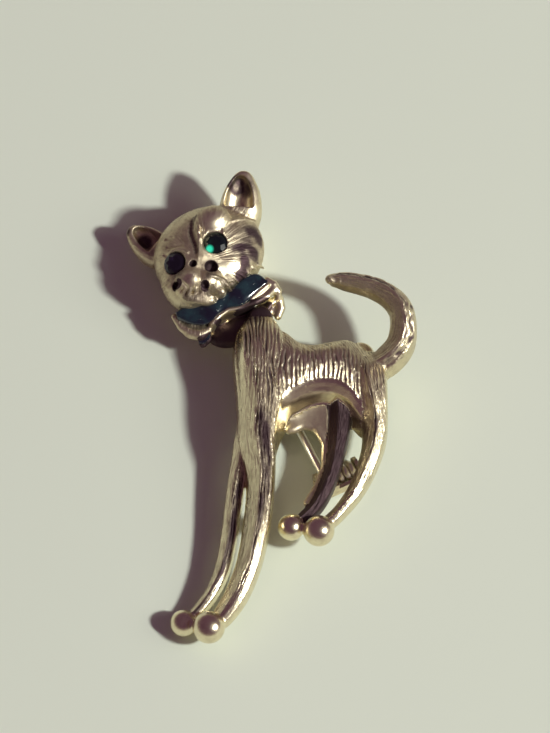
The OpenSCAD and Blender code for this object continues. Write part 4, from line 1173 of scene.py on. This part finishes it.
def add_node(tree, kind, **settings):
    node = tree.nodes.new("ShaderNode" + kind)
    for name, value in settings.items():
        setattr(node, name, value)
    return node


def feed(tree, *pairs):
    """Feeds each socket from another socket, or with a plain value."""
    for socket, value in pairs:
        if isinstance(value, bpy.types.NodeSocket):
            tree.links.new(value, socket)
        else:
            socket.default_value = value


# %% Nodes for sums, mixes and noise
def math_node(tree, operation, a, b, clamp=False):
    """A Math node whose inputs are sockets or numbers; returns its output."""
    node = add_node(tree, "Math", operation=operation, use_clamp=clamp)
    feed(tree, (node.inputs[0], a), (node.inputs[1], b))
    return node.outputs[0]


def times(tree, a, b):
    return math_node(tree, "MULTIPLY", a, b)


def plus(tree, a, b, clamp=False):
    return math_node(tree, "ADD", a, b, clamp)


def mix_colour(tree, share, a, b):
    """Mixes two colours given as sockets or values."""
    node = add_node(tree, "Mix", data_type="RGBA")
    feed(tree, (node.inputs[0], share), (node.inputs[6], a), (node.inputs[7], b))
    return node.outputs[2]


def noise_node(tree, vector, scale, detail=3.0, roughness=0.55):
    """Noise from 0 to 1 over a vector; the scale is a socket or a number."""
    node = add_node(tree, "TexNoise", noise_dimensions="3D")
    sockets = [node.inputs[title] for title in ("Vector", "Scale", "Detail", "Roughness")]
    feed(tree, *zip(sockets, (vector, scale, detail, roughness)))
    return node.outputs["Fac"]


def spread(tree, value, low, high, start, end):
    """Maps a value smoothly from one range to another."""
    node = add_node(tree, "MapRange", interpolation_type="SMOOTHSTEP")
    feed(tree, *zip(node.inputs[:5], (value, low, high, start, end)))
    return node.outputs[0]


def in_place(tree):
    """The place on the piece, in the piece's own axes."""
    return add_node(tree, "TexCoord").outputs["Object"]


# %% Group: antique plating
plating, given, result = new_group("Antique plating",
    [("Bright", "Color", (0.8, 0.68, 0.42, 1)), ("Tarnish", "Color", (0.3, 0.2, 0.13, 1)),
        ("Dirt", "Color", (0.04, 0.02, 0.02, 1)), ("Recess", "Float", 0.0), ("Polish", "Float", 0.0),
        ("Mottling", "Float", 0.3), ("Patch Size", "Float", 900.0), ("Rough Low", "Float", 0.18),
        ("Rough High", "Float", 0.5)],
    [("Color", "Color"), ("Roughness", "Float"), ("Dirt Mask", "Float")])
place = in_place(plating)
patches = noise_node(plating, place, given["Patch Size"], 4.0, 0.6)
grain = noise_node(plating, place, 5200.0, 2.0)
# tarnish lies in patches, and everywhere that isn't polished
patchy = times(plating, spread(plating, patches, 0.42, 0.72, 0.0, 1.0), given["Mottling"])
dull = math_node(plating, "SUBTRACT", 1.0, given["Polish"], clamp=True)
patchy = times(plating, patchy, 0.6)
tarnish = plus(plating, patchy, times(plating, times(plating, dull, given["Mottling"]), 0.55), clamp=True)
colour = mix_colour(plating, tarnish, given["Bright"], given["Tarnish"])
# patina lies in the grooves and hollows, and painted shade lies where the mesh marks it
patina_and_shade_mask = plus(plating, given["Recess"], times(plating, grain, 0.25))
patina_and_shade_mask = spread(plating, patina_and_shade_mask, 0.42, 1.0, 0.0, 0.94)
colour = mix_colour(plating, patina_and_shade_mask, colour, given["Dirt"])
rough = plus(plating, times(plating, dull, 0.5), times(plating, patina_and_shade_mask, 0.6))
blotches = times(plating, math_node(plating, "SUBTRACT", patches, 0.5), 0.7)
rough = plus(plating, rough, blotches, clamp=True)
rough = spread(plating, rough, 0.0, 1.0, given["Rough Low"], given["Rough High"])
feed(plating, (result["Color"], colour), (result["Roughness"], rough), (result["Dirt Mask"], patina_and_shade_mask))

# %% Group: chased strokes
strokes, given, result = new_group("Chased strokes",
    [("Run", "Vector", (0, 0, 0)), ("Across", "Float", 3.4), ("Along", "Float", 0.45),
        ("Scratches", "Float", 0.3), ("Fade", "Float", 0.0)],
    [("Height", "Float")])
scale = add_node(strokes, "CombineXYZ")
feed(strokes, *zip(scale.inputs, (given["Across"], given["Along"], given["Along"])))
stretched = add_node(strokes, "VectorMath", operation="MULTIPLY")
feed(strokes, (stretched.inputs[0], given["Run"]), (stretched.inputs[1], scale.outputs[0]))
wide = noise_node(strokes, stretched.outputs[0], 1.0, 2.0)
fine = noise_node(strokes, stretched.outputs[0], 2.7, 3.0, 0.65)
wide = times(strokes, spread(strokes, wide, 0.35, 0.65, 0.0, 1.0), 0.6)
height = plus(strokes, wide, times(strokes, fine, 0.4))
marks = noise_node(strokes, in_place(strokes), 3800.0, 3.0, 0.7)
height = times(strokes, height, math_node(strokes, "SUBTRACT", 1.0, given["Fade"], clamp=True))
height = plus(strokes, height, times(strokes, marks, given["Scratches"]))
feed(strokes, (result["Height"], height))

# %% Group: poured colour
poured, given, result = new_group("Poured colour",
    [("Deep", "Color", (0.006, 0.008, 0.018, 1)), ("Thin", "Color", (0.011, 0.032, 0.04, 1)),
        ("Speck", "Color", (0.5, 0.55, 0.5, 1)), ("Cloud Size", "Float", 600.0), ("Specks", "Float", 0.3)],
    [("Color", "Color"), ("Roughness", "Float"), ("Height", "Float")])
place = in_place(poured)
clouds = noise_node(poured, place, given["Cloud Size"], 3.0)
colour = mix_colour(poured, spread(poured, clouds, 0.38, 0.66, 0.0, 1.0), given["Deep"], given["Thin"])
bits = noise_node(poured, place, 2600.0, 2.0, 0.7)
bits = times(poured, spread(poured, bits, 0.68, 0.74, 0.0, 1.0), given["Specks"])
feed(poured, (result["Color"], mix_colour(poured, bits, colour, given["Speck"])),
    (result["Roughness"], spread(poured, clouds, 0.3, 0.7, 0.08, 0.22)),
    (result["Height"], plus(poured, clouds, bits)))
print("groups:", [g.name for g in bpy.data.node_groups])

# %% [markdown]
# ## Materials
# The casting reads its grooves, its painted shade, its polish and the way its fur runs from the mesh. The
# other pieces use the same groups with their own settings.


# %% Material maker
def new_material(name, **settings):
    """A material with a Principled shader whose plain settings are given by socket name."""
    material = bpy.data.materials.new(name)
    material.use_nodes = True
    tree = material.node_tree
    shader = next(n for n in tree.nodes if n.type == "BSDF_PRINCIPLED")
    for title, value in settings.items():
        shader.inputs[title.replace("_", " ")].default_value = value
    return material, tree, shader


def use_group(tree, group, **settings):
    """A group in a material with its own settings; a setting may be the name of a mesh attribute."""
    node = tree.nodes.new("ShaderNodeGroup")
    node.node_tree = group
    for title, value in settings.items():
        socket = node.inputs[title.replace("_", " ")]
        if isinstance(value, str):
            reader = add_node(tree, "Attribute", attribute_name=value)
            tree.links.new(reader.outputs["Vector" if socket.type == "VECTOR" else "Fac"], socket)
        else:
            socket.default_value = value
    return node


def bump(tree, shader, height, strength, distance):
    node = add_node(tree, "Bump")
    feed(tree, (node.inputs["Strength"], strength), (node.inputs["Distance"], distance),
        (node.inputs["Height"], height), (shader.inputs["Normal"], node.outputs["Normal"]))


def link_finish(tree, shader, node):
    """Takes the colour and the roughness of a group into the shader."""
    feed(tree, (shader.inputs["Base Color"], node.outputs["Color"]),
        (shader.inputs["Roughness"], node.outputs["Roughness"]))


def plated(name, **settings):
    """A metal with the antique plating."""
    material, tree, shader = new_material(name, Metallic=1.0)
    link_finish(tree, shader, use_group(tree, plating, **settings))
    return material, tree, shader


# %% Antique gold
# the dark colour stands for the patina in the grooves and for painted shade alike
GOLD = {"Bright": (0.86, 0.77, 0.53, 1), "Tarnish": (0.42, 0.33, 0.23, 1), "Dirt": (0.06, 0.03, 0.045, 1)}
STROKE_DEPTH = 0.2 * MM


def antique_gold(name, mottling, rough_low, rough_high, stroke, worn=True):
    """The casting's gold. Worn gold reads its patina, its painted shade, its polish and the run of the fur
    from the mesh.
    """
    maps = {"Recess": "patina_and_shade", "Polish": "polish"} if worn else {}
    material, tree, shader = plated(name, **GOLD, Mottling=mottling, Rough_Low=rough_low,
        Rough_High=rough_high, **maps)
    lines = use_group(tree, strokes, Scratches=0.12, **({"Run": "run", "Fade": "polish"} if worn else {}))
    bump(tree, shader, lines.outputs["Height"], stroke, STROKE_DEPTH)
    return material


gold_body = antique_gold("Antique gold body", 0.6, 0.25, 0.62, 0.8)
gold_head = antique_gold("Antique gold head", 0.75, 0.36, 0.62, 0.4)
gold_plain = antique_gold("Antique gold fittings", 0.5, 0.25, 0.45, 0.2, worn=False)
print("golds:", [material.name for material in (gold_body, gold_head, gold_plain)])

# %% Enamel, wire and sheet
enamel, tree, shader = new_material("Dark enamel", Coat_Weight=1.0, Coat_Roughness=0.06)
pool = use_group(tree, poured)
link_finish(tree, shader, pool)
bump(tree, shader, pool.outputs["Height"], 0.25, 0.1 * MM)
wire_metal = plated("Pin wire", Bright=(0.93, 0.88, 0.76, 1), Tarnish=(0.6, 0.52, 0.4, 1), Mottling=0.3,
    Rough_Low=0.25, Rough_High=0.4)[0]
sheet_metal = plated("Hinge sheet", Bright=(0.84, 0.74, 0.52, 1), Tarnish=(0.4, 0.3, 0.2, 1), Mottling=0.5,
    Rough_Low=0.3, Rough_High=0.5)[0]
print("plain metals:", wire_metal.name, "and", sheet_metal.name)


# %% Stones
def stone_material(name, deep, thin):
    """Coloured glass that is dark inside. Roughness comes from the material, colour from the group."""
    material, tree, shader = new_material(name, Coat_Weight=0.3, Coat_Roughness=0.03, Roughness=0.1, IOR=1.45)
    fill = use_group(tree, poured, Deep=deep, Thin=thin, Specks=0.0, Cloud_Size=420.0)
    feed(tree, (shader.inputs["Base Color"], fill.outputs["Color"]))
    return material, tree, shader


# a painted green glint given off as emission: its offset from the stone's middle, and where it starts and
# ends to fade
GLINT_AT, GLINT_FADE = np.array([-0.66, -0.78, 0.3]), (0.2 * MM, 0.62 * MM)
dark_stone = stone_material("Dark stone", (0.006, 0.004, 0.009, 1), (0.045, 0.025, 0.07, 1))[0]
green_stone, tree, shader = stone_material("Green stone", (0.004, 0.006, 0.008, 1), (0.006, 0.02, 0.016, 1))
spot = add_node(tree, "VectorMath", operation="DISTANCE")
feed(tree, (spot.inputs[0], in_place(tree)),
    (spot.inputs[1], (to_frame(seats["right"][0])[0] + GLINT_AT) * MM))
painted_glint = spread(tree, spot.outputs["Value"], *GLINT_FADE, 1.0, 0.0)
feed(tree, (shader.inputs["Emission Color"], mix_colour(tree, painted_glint, (0, 0, 0, 1), (0.03, 0.75, 0.45, 1))),
    (shader.inputs["Emission Strength"], 1.0))
print("green glint at", spot.inputs[1].default_value[:])

# %% [markdown]
# ## Dressing the frame
# Every piece rides on the body that it belongs to, hides the solid it stands for and takes its material.

# %% Rides, slots and materials
DRESS = [  # piece, body, solid that it stands for, slot, material
    (body_piece, "brooch", "cast_body", "antique_gold", gold_body),
    (head_piece, "brooch", "head", "antique_gold", gold_head),
    (collar_piece, "brooch", "enamel_collar", "enamel", enamel),
    (end_piece, "brooch", "enamel_tail", "enamel", enamel),
    (right_stone, "brooch", "eye_stone_right", "stone_green", green_stone),
    (left_stone, "brooch", "eye_stone_left", "stone_dark", dark_stone),
    (pin_piece, "pin", "pin_stem", "pin_wire", wire_metal),
    (hook_piece, "brooch", None, "antique_gold", gold_plain),
    (stud_piece, "brooch", None, "antique_gold", gold_plain)]
for piece, body_name, node, slot, material in DRESS:
    piece.data.materials.append(material)
    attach(piece, body_name)
    if node:
        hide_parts(node)
for node in ("hinge_bracket", "hinge_rivet"):
    solid = frame["nodes"][node]
    solid.data.materials.clear()
    solid.data.materials.append(sheet_metal)
print("pieces:", len(DRESS) + 2)

# %% [markdown]
# ## Table, light and camera
# The brooch lies on a pale matte sheet. A small warm lamp from the right gives the crisp shadow, and a dim
# dusky room fills it.

# %% Floor
SHEET_HALF = 1.5
SHEET_COLOUR = (0.75, 0.80, 0.665, 1)
floor_shape = bmesh.new()
bmesh.ops.create_grid(floor_shape, x_segments=1, y_segments=1, size=SHEET_HALF)
floor = finished("sheet", floor_shape)
paper = new_material("Matte sheet", Roughness=0.85, Base_Color=SHEET_COLOUR)[0]
floor.data.materials.append(paper)
print("sheet:", 2 * SHEET_HALF, "m wide")

# %% Lamps
TARGET = Vector((0.381, 7.227, 0)) * MM
LAMPS = [  # name, way from the target in metres, width, power in watts, colour
    ("key", (1.48, -0.574, 1.40), 0.18, 40.8, (0.97, 1.0, 0.97)),
    ("window", (1.60, -0.40, 1.24), 1.1, 7.5, (1.0, 0.99, 0.9))]


def aimed(name, data, way, distance=1.0):
    """An object that stands some way off the target and looks at it."""
    thing = new_object(name, data)
    thing.location = TARGET + distance * Vector(way)
    thing.rotation_mode = "QUATERNION"
    thing.rotation_quaternion = (-Vector(way)).to_track_quat("-Z", "Y")
    return thing


for name, way, size, power, colour in LAMPS:
    light = bpy.data.lights.new(name, "AREA")
    light.shape, light.size, light.energy, light.color = "DISK", size, power, colour
    aimed(name, light, way)
print("lamps:", [name for name, *_ in LAMPS])

# %% Dusky room
ROOM_LOW, ROOM_HIGH = (0.18, 0.12, 0.14, 1), (0.105, 0.052, 0.09, 1)
HORIZON = (0.55, 0.52, 0.42, 1)
world = bpy.data.worlds.new("Dusky room")
bpy.context.scene.world = world
world.use_nodes = True
tree = world.node_tree
back = next(n for n in tree.nodes if n.type == "BACKGROUND")
way = add_node(tree, "TexCoord").outputs["Generated"]
split = add_node(tree, "SeparateXYZ")
feed(tree, (split.inputs[0], way))
room = mix_colour(tree, spread(tree, split.outputs["Z"], 0.0, 0.55, 0.0, 1.0), ROOM_LOW, ROOM_HIGH)
room = mix_colour(tree, spread(tree, split.outputs["Z"], 0.03, 0.16, 1.0, 0.0), room, HORIZON)
feed(tree, (back.inputs["Color"], room))
print("world:", world.name)

# %% Camera
ELEVATION = math.radians(66)
EYE_DISTANCE = 3.0
LENS = 1267
camera = bpy.data.cameras.new("camera")
camera.sensor_fit, camera.sensor_height, camera.sensor_width = "VERTICAL", 36, 36
camera.lens = LENS
camera.clip_start, camera.clip_end = 0.1, 20
away = Vector((0, -math.cos(ELEVATION), math.sin(ELEVATION)))
bpy.context.scene.camera = aimed("camera", camera, away, EYE_DISTANCE)
bpy.context.scene.view_settings.view_transform = "Standard"
print("camera", EYE_DISTANCE, "m from the brooch")

# %% Measure and finish
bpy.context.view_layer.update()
print("script seconds:", round(time.time() - START, 1))
